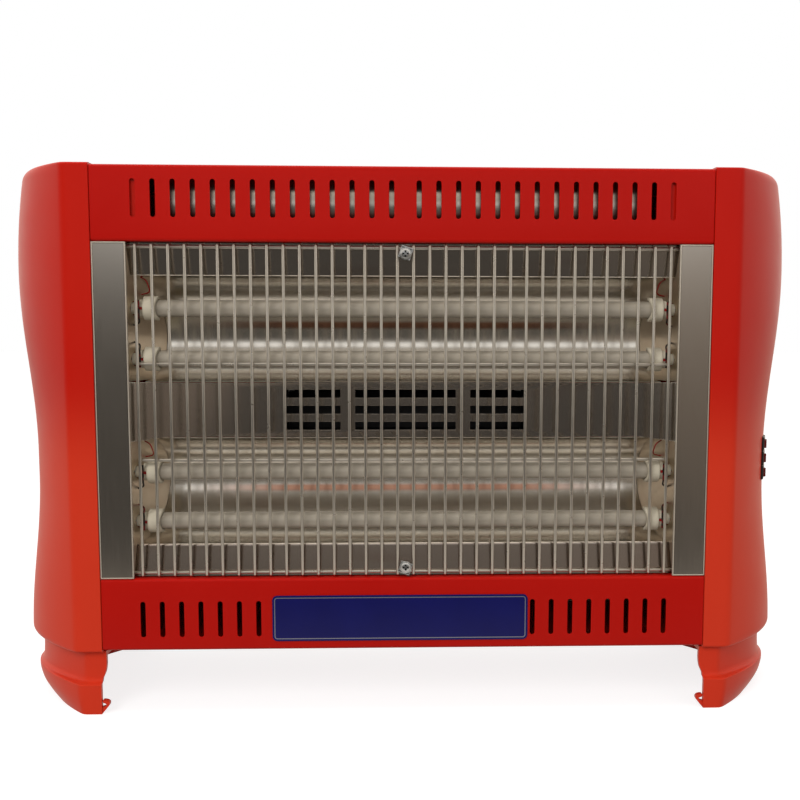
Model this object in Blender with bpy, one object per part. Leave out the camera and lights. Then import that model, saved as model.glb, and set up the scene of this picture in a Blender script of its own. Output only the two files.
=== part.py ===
"""Quartz radiant heater with four tubes, a convection fan and three rocker switches.

Metres, +Z up. The front faces -Y, +X is the right side seen from the front, and the origin is on the floor
under the middle of the body. Depths called "behind the front" are measured back from the side caps' front.
"""

import math

import bmesh
import bpy
from mathutils import Matrix, Vector

# Driving dimensions of the case
CASE_DEPTH = 0.160
SEAM_X = 0.210
CASE_BOTTOM = 0.045
CASE_TOP = 0.3764
BAND_HEIGHT = 0.0506
SHEET = 0.0010
GAP = 0.0003

# Vertical slots of the two front bands
SLOT_PITCH = 0.01325
SLOTS_PER_GROUP = 14
SLOT_FIRST_X = 0.0092
SLOT_LENGTH = 0.0252
SLOT_WIDTH = 0.0034
SLOT_FROM_EDGE = 0.0220

# Side caps
CAP_WALL = 0.0038
CAP_PROUD = 0.0011
CAP_FACET = 0.0180
CAP_HALF_WIDTH = 0.2810
CAP_TOP_TUCK = 0.0065
CAP_WAIST_TUCK = 0.0105
CAP_LOW_TUCK = 0.0015
CAP_BULGE_DROP = 0.0704
CAP_WAIST_RISE = 0.1150
CAP_WAIST_HEIGHT = 0.0180
CAP_TOP_ROUND = 0.0070
CAP_BOTTOM_ROUND = 0.0050
COLLAR_REACH = 0.0320
COLLAR_GRIP = 0.0060
COLLAR_LAP = 0.0030
COLLAR_WALL = 0.0022
COLLAR_ROUND = 0.0032

# Feet
LIP_HEIGHT = 0.0213
LIP_TUCK = 0.0058
SOLE_TUCK = 0.0118
NECK_TUCK = 0.0032
NECK_INSET = 0.0050
LIP_CREASE = 0.0022
SOLE_CREASE = 0.0041
NECK_LAP = 0.0016
FOOT_SETBACK = 0.0012
FOOT_WALL = 0.0035
BOSS_OUT = 0.0260
BOSS_Y = 0.042
BOSS_RADIUS = 0.0045
BOSS_LOW = 0.004
HOOK_REACH = 0.0064
HOOK_FRONT = 0.0012
HOOK_BACK = 0.0050

# Window, trim strips and guard grille
PANEL_BACK = 0.0010
TRIM_WIDTH = 0.0230
TRIM_SHEET = 0.0008
WIRE_COUNT = 34
WIRE_RADIUS = 0.00110
WIRE_BACK = 0.0040
GRILLE_SIDE_GAP = 0.0044
GRILLE_MARGIN = 0.0034
CROSS_WIRE_OFFSET = 0.0330

# Reflectors and vent plate
MIRROR_SHEET = 0.0008
FOLD_BACK = 0.0120
FLANGE_HEIGHT = 0.0225
VENT_HALF_HEIGHT = 0.0203
TROUGH_BACK = 0.0480
VENT_BACK = 0.0240
VENT_END_RUN = 0.0220
END_SLOPE = 0.45
END_STEP = 0.0002
END_PLATE_FRONT = 0.0036
VENT_ROW_PITCH = 0.01135
VENT_ROW_HEIGHT = 0.0058
VENT_GROUPS = ((-0.0835, -0.0457), (-0.0354, 0.0354), (0.0457, 0.0835))

# Quartz tubes and their ceramic caps
TUBE_RADIUS = 0.0058
TUBE_WALL = 0.0013
TUBE_BACK = 0.0160
TUBE_SPACING_SHARE = 0.478
TUBE_DROP_SHARE = 0.0435
CERAMIC_RADIUS = 0.00825
CERAMIC_INSET = 0.0185
CERAMIC_LENGTH = 0.0100
SOCKET_DEPTH = 0.0062
NECK_RADIUS = 0.0045
NECK_LENGTH = 0.0085
LEAD_RADIUS = 0.0007
COIL_RADIUS = 0.0036

# Fan
FAN_BACK = 0.0950
FAN_RADIUS = 0.0270
FAN_HALF_LENGTH = 0.0880
FAN_BLADES = 14
SHAFT_RADIUS = 0.0030
BEARING_CLEARANCE = 0.0001
DUCT_HALF_HEIGHT = 0.0165
FAN_CLEARANCE = 0.0030

# Rocker switches on the right side
SWITCH_RISE = 0.1278
SWITCH_PITCH = 0.01065
SWITCH_BACK = 0.0520
BEZEL_LENGTH = 0.0175
BEZEL_WIDTH = 0.0102
BEZEL_PROUD = 0.0012
ROCKER_RADIUS = 0.0067
ROCKER_WIDTH = 0.0066
ROCKER_TILT = math.radians(10)
SWITCH_BODY_DEPTH = 0.0144

FRONT_Y = -CASE_DEPTH / 2
BACK_Y = CASE_DEPTH / 2
WINDOW_LOW = CASE_BOTTOM + BAND_HEIGHT
WINDOW_HIGH = CASE_TOP - BAND_HEIGHT
WINDOW_MID = (WINDOW_LOW + WINDOW_HIGH) / 2
CREASE_X = SEAM_X + CAP_FACET
CAP_TOP = CASE_TOP + CAP_PROUD
CAP_BOTTOM = CASE_BOTTOM - CAP_PROUD
CAP_WAIST = CAP_HALF_WIDTH - CAP_WAIST_TUCK
CAP_WAIST_LOW_Z = CASE_BOTTOM + CAP_WAIST_RISE
CAP_WAIST_HIGH_Z = CAP_WAIST_LOW_Z + CAP_WAIST_HEIGHT
CAP_BULGE_HIGH_Z = CASE_TOP - CAP_BULGE_DROP
COLLAR_X = SEAM_X - COLLAR_REACH
LIP_HALF_WIDTH = CAP_HALF_WIDTH - LIP_TUCK
FOOT_INNER_X = SEAM_X + FOOT_SETBACK
NECK_INNER_X = SEAM_X - NECK_LAP
BOSS_X = SEAM_X + BOSS_OUT
TRIM_INNER_X = SEAM_X - TRIM_WIDTH
GRILLE_HALF_X = TRIM_INNER_X - GRILLE_SIDE_GAP
WIRE_PITCH = 2 * (GRILLE_HALF_X - WIRE_RADIUS) / (WIRE_COUNT - 1)
END_X_AT_FOLD = TRIM_INNER_X - END_STEP
VENT_HALF_X = TRIM_INNER_X - VENT_END_RUN
CERAMIC_INNER_X = TRIM_INNER_X - CERAMIC_INSET
SWITCH_Z = CASE_BOTTOM + SWITCH_RISE
TUBE_HALF_LENGTH = CERAMIC_INNER_X + SOCKET_DEPTH - GAP


def behind(distance):
    """The Y of a plane that lies this far behind the side caps' front faces."""
    return FRONT_Y + distance


def make_material(name, colour, roughness, metallic=0.0):
    made = bpy.data.materials.new(name)
    made.use_nodes = True
    shader = made.node_tree.nodes["Principled BSDF"]
    shader.inputs["Base Color"].default_value = (*colour, 1.0)
    shader.inputs["Roughness"].default_value = roughness
    shader.inputs["Metallic"].default_value = metallic
    return made


def finish_object(name, shape, material, sharp=32):
    """Turns a bmesh into a named object with its faces pointing out, bent quads split and flats kept flat."""
    quads = [face for face in shape.faces if len(face.verts) == 4]
    bmesh.ops.connect_verts_nonplanar(shape, angle_limit=math.radians(0.2), faces=quads)
    bmesh.ops.recalc_face_normals(shape, faces=shape.faces)
    mesh = bpy.data.meshes.new(name)
    shape.to_mesh(mesh)
    shape.free()
    mesh.shade_smooth()
    mesh.set_sharp_from_angle(angle=math.radians(sharp))
    mesh.materials.append(material)
    made = bpy.data.objects.new(name, mesh)
    bpy.context.scene.collection.objects.link(made)
    return made


def add_loft(shape, rings):
    """Adds a closed skin over rings of equally many points, with a flat face at each end."""
    grid = [[shape.verts.new(point) for point in ring] for ring in rings]
    count = len(grid[0])
    for low, high in zip(grid, grid[1:]):
        for i in range(count):
            j = (i + 1) % count
            shape.faces.new((low[i], low[j], high[j], high[i]))
    shape.faces.new(grid[0][::-1])
    shape.faces.new(grid[-1])


def place(axis, a, b, along):
    """A point of an outline in the plane across an axis, moved along that axis."""
    return {"X": (along, a, b), "Y": (a, along, b), "Z": (a, b, along)}[axis]


def add_prism(shape, outline, low, high, axis):
    add_loft(shape, [[place(axis, a, b, end) for a, b in outline] for end in (low, high)])


def prism(name, outline, low, high, axis, material):
    shape = bmesh.new()
    add_prism(shape, outline, low, high, axis)
    return finish_object(name, shape, material)


def rectangle(a_low, a_high, b_low, b_high):
    return [(a_low, b_low), (a_high, b_low), (a_high, b_high), (a_low, b_high)]


def circle(a, b, radius, sides, turn=0.0):
    angles = [turn + 2 * math.pi * i / sides for i in range(sides)]
    return [(a + radius * math.cos(t), b + radius * math.sin(t)) for t in angles]


def slot_outline(a, b, length, width, steps=2):
    """An upright slot with half-round ends, centred on (a, b)."""
    radius = width / 2
    reach = length / 2 - radius
    upper = [math.pi * i / steps for i in range(steps + 1)]
    points = [(a + radius * math.cos(t), b + reach + radius * math.sin(t)) for t in upper]
    return points + [(2 * a - x, 2 * b - y) for x, y in points]


def rounded_path(path, radius, steps=3):
    """An open path with each inner corner replaced by an arc of the given radius."""
    made = [path[0]]
    for before, corner, after in zip(path, path[1:], path[2:]):
        corner = Vector(corner)
        first = (Vector(before) - corner).normalized()
        last = (Vector(after) - corner).normalized()
        half = first.angle(last) / 2
        reach = radius / math.tan(half)
        centre = corner + (first + last).normalized() * radius / math.sin(half)
        start = corner + first * reach - centre
        end = corner + last * reach - centre
        turn = start.angle(end)
        for i in range(steps + 1):
            share = i / steps
            mixed = start * math.sin((1 - share) * turn) + end * math.sin(share * turn)
            made.append(tuple(centre + mixed / math.sin(turn)))
    made.append(path[-1])
    return made


def sheet_outline(path, thickness):
    """The closed outline of a folded sheet that lies to the left of its path."""
    points = [Vector(p) for p in path]
    runs = [(b - a).normalized() for a, b in zip(points, points[1:])]
    left = [Vector((-run.y, run.x)) for run in runs]
    offset = [points[0] + left[0] * thickness]
    for point, a, b in zip(points[1:-1], left, left[1:]):
        mitre = (a + b).normalized()
        offset.append(point + mitre * thickness / mitre.dot(a))
    offset.append(points[-1] + left[-1] * thickness)
    return [tuple(p) for p in points] + [tuple(p) for p in reversed(offset)]


def add_turned(shape, profile, centre, sides):
    """Adds a ring turned about a line along X through centre (y, z), from a closed loop of (x, radius)."""
    rings = []
    for i in range(sides):
        turn = 2 * math.pi * i / sides
        side, up = math.cos(turn), math.sin(turn)
        rings.append([shape.verts.new((x, centre[0] + r * side, centre[1] + r * up)) for x, r in profile])
    count = len(profile)
    for ring, after in zip(rings, rings[1:] + rings[:1]):
        for i in range(count):
            j = (i + 1) % count
            shape.faces.new((ring[i], ring[j], after[j], after[i]))


def add_round_bar(shape, centre, radius, low, high, sides, axis="X"):
    add_prism(shape, circle(centre[0], centre[1], radius, sides), low, high, axis)


def combine(target, other, operation):
    """Applies a Boolean of two objects to the first, and removes the second."""
    modifier = target.modifiers.new("combine", "BOOLEAN")
    modifier.operation = operation
    modifier.solver = "EXACT"
    modifier.object = other
    graph = bpy.context.evaluated_depsgraph_get()
    made = bpy.data.meshes.new_from_object(target.evaluated_get(graph))
    target.modifiers.remove(modifier)
    target.data = made
    bpy.data.objects.remove(other)
    made.shade_smooth()
    made.set_sharp_from_angle(angle=math.radians(32))


def cut(target, shape):
    """Cuts a bmesh, which may hold several separate bodies, out of an object."""
    combine(target, finish_object("cutter", shape, target.data.materials[0]), "DIFFERENCE")


def join(target, shape):
    combine(target, finish_object("addition", shape, target.data.materials[0]), "UNION")


for old in list(bpy.data.objects):
    bpy.data.objects.remove(old)

RED_STEEL = make_material("red_painted_steel", (0.48, 0.010, 0.006), 0.42)
RED_PLASTIC = make_material("red_plastic", (0.56, 0.018, 0.008), 0.34)
TRIM = make_material("stainless_trim", (0.55, 0.53, 0.50), 0.25, 1.0)
MIRROR = make_material("reflector_mirror", (0.62, 0.58, 0.52), 0.12, 1.0)
SHIELD = make_material("shield_sheet", (0.55, 0.53, 0.50), 0.22, 1.0)
SCREW = make_material("zinc_screw", (0.58, 0.58, 0.56), 0.28, 1.0)
ZINC = make_material("galvanised_steel", (0.50, 0.50, 0.48), 0.40, 1.0)
WIRE = make_material("nickel_wire", (0.60, 0.59, 0.56), 0.30, 1.0)
QUARTZ = make_material("frosted_quartz", (0.72, 0.71, 0.66), 0.30)
CERAMIC = make_material("white_ceramic", (0.74, 0.71, 0.62), 0.55)
COIL_WIRE = make_material("resistance_wire", (0.25, 0.23, 0.21), 0.50, 1.0)
BLACK_PLASTIC = make_material("black_plastic", (0.02, 0.02, 0.02), 0.45)
DARK_RED = make_material("rocker_dark_red", (0.16, 0.010, 0.010), 0.25)
BLUE_PLATE = make_material("blue_plate", (0.010, 0.014, 0.16), 0.25)
FAN_ALLOY = make_material("fan_alloy", (0.60, 0.60, 0.61), 0.38, 1.0)
CORE_STEEL = make_material("laminated_core", (0.35, 0.35, 0.36), 0.45, 1.0)
COPPER = make_material("motor_winding", (0.45, 0.20, 0.08), 0.45, 1.0)


def ease(low, high, share):
    return low + (high - low) * (1 - math.cos(math.pi * share)) / 2


def cap_half_width(z):
    """The side cap's greatest half width at a height: two bulges with a waist between them."""
    if z <= CAP_WAIST_LOW_Z:
        low = CAP_HALF_WIDTH - CAP_LOW_TUCK
        return ease(low, CAP_WAIST, (z - CAP_BOTTOM) / (CAP_WAIST_LOW_Z - CAP_BOTTOM))
    if z <= CAP_WAIST_HIGH_Z:
        return CAP_WAIST
    if z <= CAP_BULGE_HIGH_Z:
        share = (z - CAP_WAIST_HIGH_Z) / (CAP_BULGE_HIGH_Z - CAP_WAIST_HIGH_Z)
        return ease(CAP_WAIST, CAP_HALF_WIDTH, share)
    share = (z - CAP_BULGE_HIGH_Z) / (CAP_TOP - CAP_BULGE_HIGH_Z)
    return CAP_HALF_WIDTH - CAP_TOP_TUCK * share**2


def quarter_curve(crease, half_width, depth, steps):
    """The plan curve from the facet's crease to the widest point, as (x, distance behind the facet)."""
    shares = [i / steps for i in range(steps + 1)]
    return [Vector((crease + (half_width - crease) * (1 - (1 - t) ** 2), depth * t)) for t in shares]


def side_outline(z, inner_x, half_width, front_inset, facet_inset=0.0, steps=6):
    """The plan outline of a cap or foot on the right, from its front inner corner round to its back one."""
    depth = CASE_DEPTH / 2 - front_inset
    curve = quarter_curve(CREASE_X - facet_inset, half_width, depth, steps)
    front = [(p.x, FRONT_Y + front_inset + p.y) for p in curve]
    back = [(x, -y) for x, y in reversed(front[:-1])]
    corner = FRONT_Y + front_inset
    outline = [(inner_x, corner), *front, *back, (inner_x, -corner)]
    return [(x, y, z) for x, y in outline]


def mirrored(rings, side):
    """The rings as they are on the right, or mirrored onto the left."""
    if side > 0:
        return rings
    return [[(-x, y, z) for x, y, z in reversed(ring)] for ring in rings]


def round_levels(z_edge, radius, inwards, steps):
    """Heights and insets along a rounded edge. inwards is -1 from a top edge and 1 from a bottom edge."""
    made = []
    for i in range(steps + 1):
        turn = math.pi / 2 * i / steps
        made.append((z_edge + inwards * radius * (1 - math.cos(turn)), radius * (1 - math.sin(turn))))
    return made


def cap_rings(wall):
    """The rings of a side cap's skin. A wall above 0 gives the hollow inside it, which opens inboard."""
    inner_x = SEAM_X if wall == 0 else SEAM_X - COLLAR_REACH / 2
    low, high = CAP_BOTTOM + wall, CAP_TOP - wall
    steps = 3 if wall == 0 else 1
    bottom = round_levels(low, CAP_BOTTOM_ROUND - wall, 1, steps)
    top = round_levels(high, CAP_TOP_ROUND - wall, -1, steps)
    body_low, body_high = bottom[-1][0], top[-1][0]
    count = 10 if wall == 0 else 6
    between = [(body_low + (body_high - body_low) * i / count, 0.0) for i in range(1, count)]
    rings = []
    for z, inset in [*bottom, *between, *reversed(top)]:
        half = cap_half_width(z) - wall - inset
        rings.append(side_outline(z, inner_x, half, wall, 0.25 * wall, 7 if wall == 0 else 4))
    return rings


def switch_frames():
    """The place and turn of each switch: on the cap's side, square to its skin there."""
    half = cap_half_width(SWITCH_Z)
    curve = quarter_curve(CREASE_X, half, CASE_DEPTH / 2, 200)
    near = min(range(len(curve) - 1), key=lambda i: abs(curve[i].y - SWITCH_BACK))
    run = curve[near + 1] - curve[near - 1]
    turn = math.atan2(-run.x, run.y)
    for i in (1, 0, -1):
        spot = Vector((curve[near].x, FRONT_Y + curve[near].y, SWITCH_Z + i * SWITCH_PITCH))
        yield Matrix.Translation(spot) @ Matrix.Rotation(turn, 4, "Z")


def make_side_cap(name, side):
    """A moulded side cap: a bulged shell with a collar inboard that the sheet covers slide over."""
    shape = bmesh.new()
    add_loft(shape, mirrored(cap_rings(0.0), side))
    made = finish_object(name, shape, RED_PLASTIC)
    hollow = bmesh.new()
    add_loft(hollow, mirrored(cap_rings(CAP_WALL), side))
    cut(made, hollow)
    front = behind(PANEL_BACK + SHEET + GAP)
    back = BACK_Y - PANEL_BACK - 2 * SHEET - 2 * GAP
    floor = CASE_BOTTOM + SHEET + GAP
    roof = CASE_TOP - SHEET - GAP
    path = [(front, WINDOW_HIGH + COLLAR_LAP), (front, roof), (back, roof), (back, floor), (front, floor)]
    path.append((front, WINDOW_LOW - COLLAR_LAP))
    path = rounded_path(path, COLLAR_ROUND)
    outline = sheet_outline(path[::-1], COLLAR_WALL)
    ends = sorted((side * COLLAR_X, side * (SEAM_X + COLLAR_GRIP)))
    collar = bmesh.new()
    add_prism(collar, outline, *ends, "X")
    join(made, collar)
    return made


def foot_rings(wall):
    """The rings of a foot: a tucked sole under a rolled lip, then a cove and a neck up to the cap.

    A wall above 0 gives the hollow inside it, which opens at the floor and inboard.
    """
    neck_top = CAP_BOTTOM - GAP
    rise = neck_top - LIP_HEIGHT
    levels = (
        (0.0, SOLE_TUCK, 0.0, FOOT_INNER_X),
        (LIP_HEIGHT * 0.22, SOLE_TUCK * 0.58, 0.0, FOOT_INNER_X),
        (LIP_HEIGHT * 0.50, SOLE_TUCK * 0.20, 0.0, FOOT_INNER_X),
        (LIP_HEIGHT * 0.80, 0.0, 0.0, FOOT_INNER_X),
        (LIP_HEIGHT * 0.93, 0.0, NECK_INSET * 0.06, FOOT_INNER_X),
        (LIP_HEIGHT, 0.0, NECK_INSET * 0.24, FOOT_INNER_X),
        (LIP_HEIGHT + rise * 0.14, NECK_TUCK * 0.10, NECK_INSET * 0.62, FOOT_INNER_X),
        (LIP_HEIGHT + rise * 0.34, NECK_TUCK * 0.40, NECK_INSET * 0.90, NECK_INNER_X + NECK_LAP / 2),
        (LIP_HEIGHT + rise * 0.62, NECK_TUCK * 0.80, NECK_INSET, NECK_INNER_X),
        (neck_top, NECK_TUCK, NECK_INSET * 0.96, NECK_INNER_X),
    )
    rings = []
    for z, tuck, front, inner in levels:
        if wall > 0:
            inner = NECK_INNER_X - 2 * wall
            z = min(z, neck_top - wall) if z > 0 else -wall
        crease = LIP_CREASE + 0.6 * front + (SOLE_CREASE - LIP_CREASE) * tuck / SOLE_TUCK
        half = LIP_HALF_WIDTH - tuck - wall
        rings.append(side_outline(z, inner, half, front + wall, crease + 0.4 * wall, 6 if wall == 0 else 4))
    return rings


def make_foot(name, side):
    """A hollow foot, open inboard, with two screw bosses and a small curl at its inner front corner."""
    shape = bmesh.new()
    add_loft(shape, mirrored(foot_rings(0.0), side))
    made = finish_object(name, shape, RED_PLASTIC)
    hollow = bmesh.new()
    add_loft(hollow, mirrored(foot_rings(FOOT_WALL), side))
    cut(made, hollow)
    bosses = bmesh.new()
    boss_top = CAP_BOTTOM - GAP - FOOT_WALL / 2
    for y in (-BOSS_Y, BOSS_Y):
        add_prism(bosses, circle(side * BOSS_X, y, BOSS_RADIUS, 8), BOSS_LOW, boss_top, "Z")
    join(made, bosses)
    bores = bmesh.new()
    for y in (-BOSS_Y, BOSS_Y):
        add_prism(bores, circle(side * BOSS_X, y, BOSS_RADIUS * 0.4, 6), -0.001, 0.020, "Z")
    cut(made, bores)
    curl = [(0.23, 0.09), (0.0, 0.09), (-0.66, 0.72), (-1.0, 1.31), (-0.78, 1.63), (-0.47, 1.53)]
    curl += [(-0.44, 1.09), (0.23, 0.63)]
    curl = [(side * (FOOT_INNER_X + a * HOOK_REACH), b * HOOK_REACH) for a, b in curl]
    hook = bmesh.new()
    add_prism(hook, curl, behind(HOOK_FRONT), behind(HOOK_BACK), "Y")
    join(made, hook)
    return made


for side_name, side in (("left", -1), ("right", 1)):
    make_side_cap(f"{side_name}_side_cap", side)
    make_foot(f"{side_name}_foot", side)


def band_slots(centre_z):
    """Cutters for the two groups of slots across one front band."""
    shape = bmesh.new()
    for side in (-1, 1):
        for i in range(SLOTS_PER_GROUP):
            x = side * (SLOT_FIRST_X + i * SLOT_PITCH)
            outline = slot_outline(x, centre_z, SLOT_LENGTH, SLOT_WIDTH)
            add_prism(shape, outline, behind(-0.002), behind(PANEL_BACK + 2 * SHEET), "Y")
    return shape


FOLD_RADIUS = 0.0022
LIP_DEPTH = 0.0080
PANEL_Y = behind(PANEL_BACK)
REAR_Y = BACK_Y - PANEL_BACK
REAR_BAND = 0.030
COVER_X = SEAM_X - GAP

# The sheet lies to the left of each path, which runs so that left is inwards.
roof_path = [(PANEL_Y + LIP_DEPTH, WINDOW_HIGH), (PANEL_Y, WINDOW_HIGH), (PANEL_Y, CASE_TOP)]
roof_path += [(REAR_Y, CASE_TOP), (REAR_Y, CASE_TOP - REAR_BAND)]
roof_path = rounded_path(roof_path, FOLD_RADIUS)
top_cover = prism("top_cover", sheet_outline(roof_path[::-1], SHEET), -COVER_X, COVER_X, "X", RED_STEEL)
cut(top_cover, band_slots(CASE_TOP - SLOT_FROM_EDGE))

floor_path = [(PANEL_Y + LIP_DEPTH, WINDOW_LOW), (PANEL_Y, WINDOW_LOW), (PANEL_Y, CASE_BOTTOM)]
floor_path += [(REAR_Y, CASE_BOTTOM), (REAR_Y, CASE_BOTTOM + REAR_BAND)]
floor_path = rounded_path(floor_path, FOLD_RADIUS)
bottom_cover = prism("bottom_cover", sheet_outline(floor_path, SHEET), -COVER_X, COVER_X, "X", RED_STEEL)
cut(bottom_cover, band_slots(CASE_BOTTOM + SLOT_FROM_EDGE))

# Back panel: it slips in behind the covers' rear flanges, and takes air in through rows of slots
PANEL_OUTER = REAR_Y - SHEET - GAP
INTAKE_COLUMNS = 4
INTAKE_ROWS = 6
INTAKE_LENGTH = 0.038
INTAKE_HEIGHT = 0.0048
INTAKE_PITCH_X = 0.046
INTAKE_PITCH_Z = 0.0110
GLAND_X = 0.150
GLAND_Z = 0.098
GLAND_HOLE = 0.0062
GLAND_BORE = 0.0045
BACK_SCREW_X = 0.196
BACK_SCREW_Z = (CASE_BOTTOM + 0.0600, WINDOW_MID, CASE_TOP - 0.0594)
BACK_SCREW_HEAD = 0.0036
BACK_SCREW_SHANK = 0.0015

back_panel = prism(
    "back_panel",
    rectangle(PANEL_OUTER - SHEET, PANEL_OUTER, CASE_BOTTOM + 0.004, CASE_TOP - 0.004),
    -COVER_X,
    COVER_X,
    "X",
    RED_STEEL,
)
openings = bmesh.new()
for column in range(INTAKE_COLUMNS):
    x = (column - (INTAKE_COLUMNS - 1) / 2) * INTAKE_PITCH_X
    for row in range(INTAKE_ROWS):
        z = WINDOW_MID + (row - (INTAKE_ROWS - 1) / 2) * INTAKE_PITCH_Z
        half_x, half_z = INTAKE_LENGTH / 2, INTAKE_HEIGHT / 2
        slot = rectangle(x - half_x, x + half_x, z - half_z, z + half_z)
        add_prism(openings, slot, PANEL_OUTER - 2 * SHEET, PANEL_OUTER + SHEET, "Y")
add_prism(openings, circle(GLAND_X, GLAND_Z, GLAND_HOLE + GAP, 16), PANEL_OUTER - 2 * SHEET, REAR_Y, "Y")
cut(back_panel, openings)

for side_name, side in (("left", -1), ("right", 1)):
    cap = bpy.data.objects[f"{side_name}_side_cap"]
    for target in (cap, back_panel):
        holes = bmesh.new()
        for z in BACK_SCREW_Z:
            hole = circle(side * BACK_SCREW_X, z, BACK_SCREW_SHANK + GAP, 8)
            add_prism(holes, hole, BACK_Y - 0.012, REAR_Y, "Y")
        cut(target, holes)
    for number, z in enumerate(BACK_SCREW_Z, 1):
        x = side * BACK_SCREW_X
        shape = bmesh.new()
        seat = PANEL_OUTER + GAP
        rings = (
            (seat - 0.0075, BACK_SCREW_SHANK),
            (seat + 0.0002, BACK_SCREW_SHANK),
            (seat + 0.0002, BACK_SCREW_HEAD),
            (seat + 0.0011, BACK_SCREW_HEAD * 0.92),
            (seat + 0.0016, BACK_SCREW_HEAD * 0.55),
        )
        add_loft(shape, [[(a, y, b) for a, b in circle(x, z, r, 8)] for y, r in rings])
        finish_object(f"back_screw_{side_name}_{number}", shape, SCREW)

shape = bmesh.new()
gland_profile = (
    (PANEL_OUTER - 0.0095, GLAND_BORE),
    (PANEL_OUTER - 0.0095, 0.0056),
    (PANEL_OUTER - 0.0050, GLAND_HOLE),
    (PANEL_OUTER + GAP, GLAND_HOLE),
    (PANEL_OUTER + GAP, 0.0092),
    (PANEL_OUTER + 0.0016, 0.0086),
    (PANEL_OUTER + 0.0018, GLAND_BORE),
)
add_turned(shape, gland_profile, (0.0, 0.0), 12)
swing = Matrix(((0, 1, 0, GLAND_X), (1, 0, 0, 0), (0, 0, -1, GLAND_Z), (0, 0, 0, 1)))
bmesh.ops.transform(shape, matrix=swing, verts=shape.verts)
finish_object("cord_gland", shape, BLACK_PLASTIC)

# Trim strips: stainless channels beside the window, with a short hem inboard and a deeper return outboard
HEM = 0.0018
RETURN = 0.0070

for side_name, side in (("left", -1), ("right", 1)):
    hem_x, return_x = TRIM_INNER_X, SEAM_X - GAP
    path = [(hem_x, PANEL_Y + HEM), (hem_x, PANEL_Y), (return_x, PANEL_Y), (return_x, PANEL_Y + RETURN)]
    outline = sheet_outline(rounded_path(path, 0.0012, 2), TRIM_SHEET)
    outline = [(side * x, y) for x, y in outline]
    prism(f"{side_name}_trim_strip", outline, WINDOW_LOW + GAP, WINDOW_HIGH - GAP, "Z", TRIM)


def end_x(back):
    """Where an end plate's mirror face stands, this far behind the front."""
    return END_X_AT_FOLD - END_SLOPE * (back - FOLD_BACK)


def add_sloped_ends(shape, outline, clearance):
    """Adds a prism along X whose two ends follow the slope of the end plates."""
    rings = []
    for side in (-1, 1):
        rings.append([(side * (end_x(y - FRONT_Y) - clearance), y, z) for y, z in outline])
    add_loft(shape, rings)


# Reflectors: a flange slants in from the window's edge, then the sheet curves round behind two tubes
FLANGE_START = 0.0086
TROUGH_STEPS = 12
fold_z = WINDOW_HIGH - FLANGE_HEIGHT
vent_edge_z = WINDOW_MID + VENT_HALF_HEIGHT
trough_height = fold_z - vent_edge_z
CLIP_SCREW_Z = WINDOW_HIGH - 0.0073
CLIP_SCREW_END = FOLD_BACK + 0.0005
CLIP_SCREW_FREE = 0.0055
CLIP_SCREW_SHANK = 0.0014


def trough_path():
    """The upper reflector's section, from the window's edge down to the vent plate, as (y, z)."""
    made = [(behind(FLANGE_START), WINDOW_HIGH - 0.0005), (behind(FOLD_BACK), fold_z)]
    middle_z = (fold_z + vent_edge_z) / 2
    for i in range(1, TROUGH_STEPS):
        turn = math.pi * i / TROUGH_STEPS
        share = (1 - math.cos(turn)) / 2
        mouth = FOLD_BACK + (VENT_BACK - FOLD_BACK) * share
        depth = (TROUGH_BACK - (FOLD_BACK + VENT_BACK) / 2) * math.sin(turn)
        made.append((behind(mouth + depth), middle_z + trough_height / 2 * math.cos(turn)))
    made.append((behind(VENT_BACK), vent_edge_z))
    return made


upper = sheet_outline(trough_path(), MIRROR_SHEET)
for name, flip in (("upper_reflector", 1), ("lower_reflector", -1)):
    shape = bmesh.new()
    add_sloped_ends(shape, [(y, WINDOW_MID + flip * (z - WINDOW_MID)) for y, z in upper], GAP)
    reflector = finish_object(name, shape, MIRROR)
    hole = bmesh.new()
    z = WINDOW_MID + flip * (CLIP_SCREW_Z - WINDOW_MID)
    ends = behind(CLIP_SCREW_FREE), behind(CLIP_SCREW_END + 0.001)
    add_prism(hole, circle(0.0, z, CLIP_SCREW_SHANK + GAP, 10), *ends, "Y")
    cut(reflector, hole)

# End plates: a mirror wall at each end of each trough, pierced for the necks of the ceramic caps
tube_rows = []
for middle in ((fold_z + vent_edge_z) / 2, 2 * WINDOW_MID - (fold_z + vent_edge_z) / 2):
    for share in (TUBE_SPACING_SHARE / 2, -TUBE_SPACING_SHARE / 2):
        tube_rows.append(middle + (share - TUBE_DROP_SHARE) * trough_height)
TAB_STEP = 0.0045
TAB_X = SEAM_X - TAB_STEP
PLATE_END = TROUGH_BACK + 0.0045

for level, (low, high), rows in (
    ("upper", (vent_edge_z + 0.0006, WINDOW_HIGH - 0.0014), tube_rows[:2]),
    ("lower", (WINDOW_LOW + 0.0014, 2 * WINDOW_MID - vent_edge_z - 0.0006), tube_rows[2:]),
):
    for side_name, side in (("left", -1), ("right", 1)):
        path = [(end_x(PLATE_END), behind(PLATE_END)), (end_x(END_PLATE_FRONT), behind(END_PLATE_FRONT))]
        path.append((TAB_X, behind(END_PLATE_FRONT)))
        outline = sheet_outline(path[::-1], -MIRROR_SHEET)
        outline = [(side * x, y) for x, y in outline]
        plate = prism(f"{level}_end_plate_{side_name}", outline, low, high, "Z", MIRROR)
        holes = bmesh.new()
        for z in rows:
            ends = sorted((side * (END_X_AT_FOLD - TROUGH_BACK / 2), side * (TAB_X - TAB_STEP / 2)))
            add_prism(holes, circle(behind(TUBE_BACK), z, NECK_RADIUS + 2 * GAP, 10), *ends, "X")
        cut(plate, holes)

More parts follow.
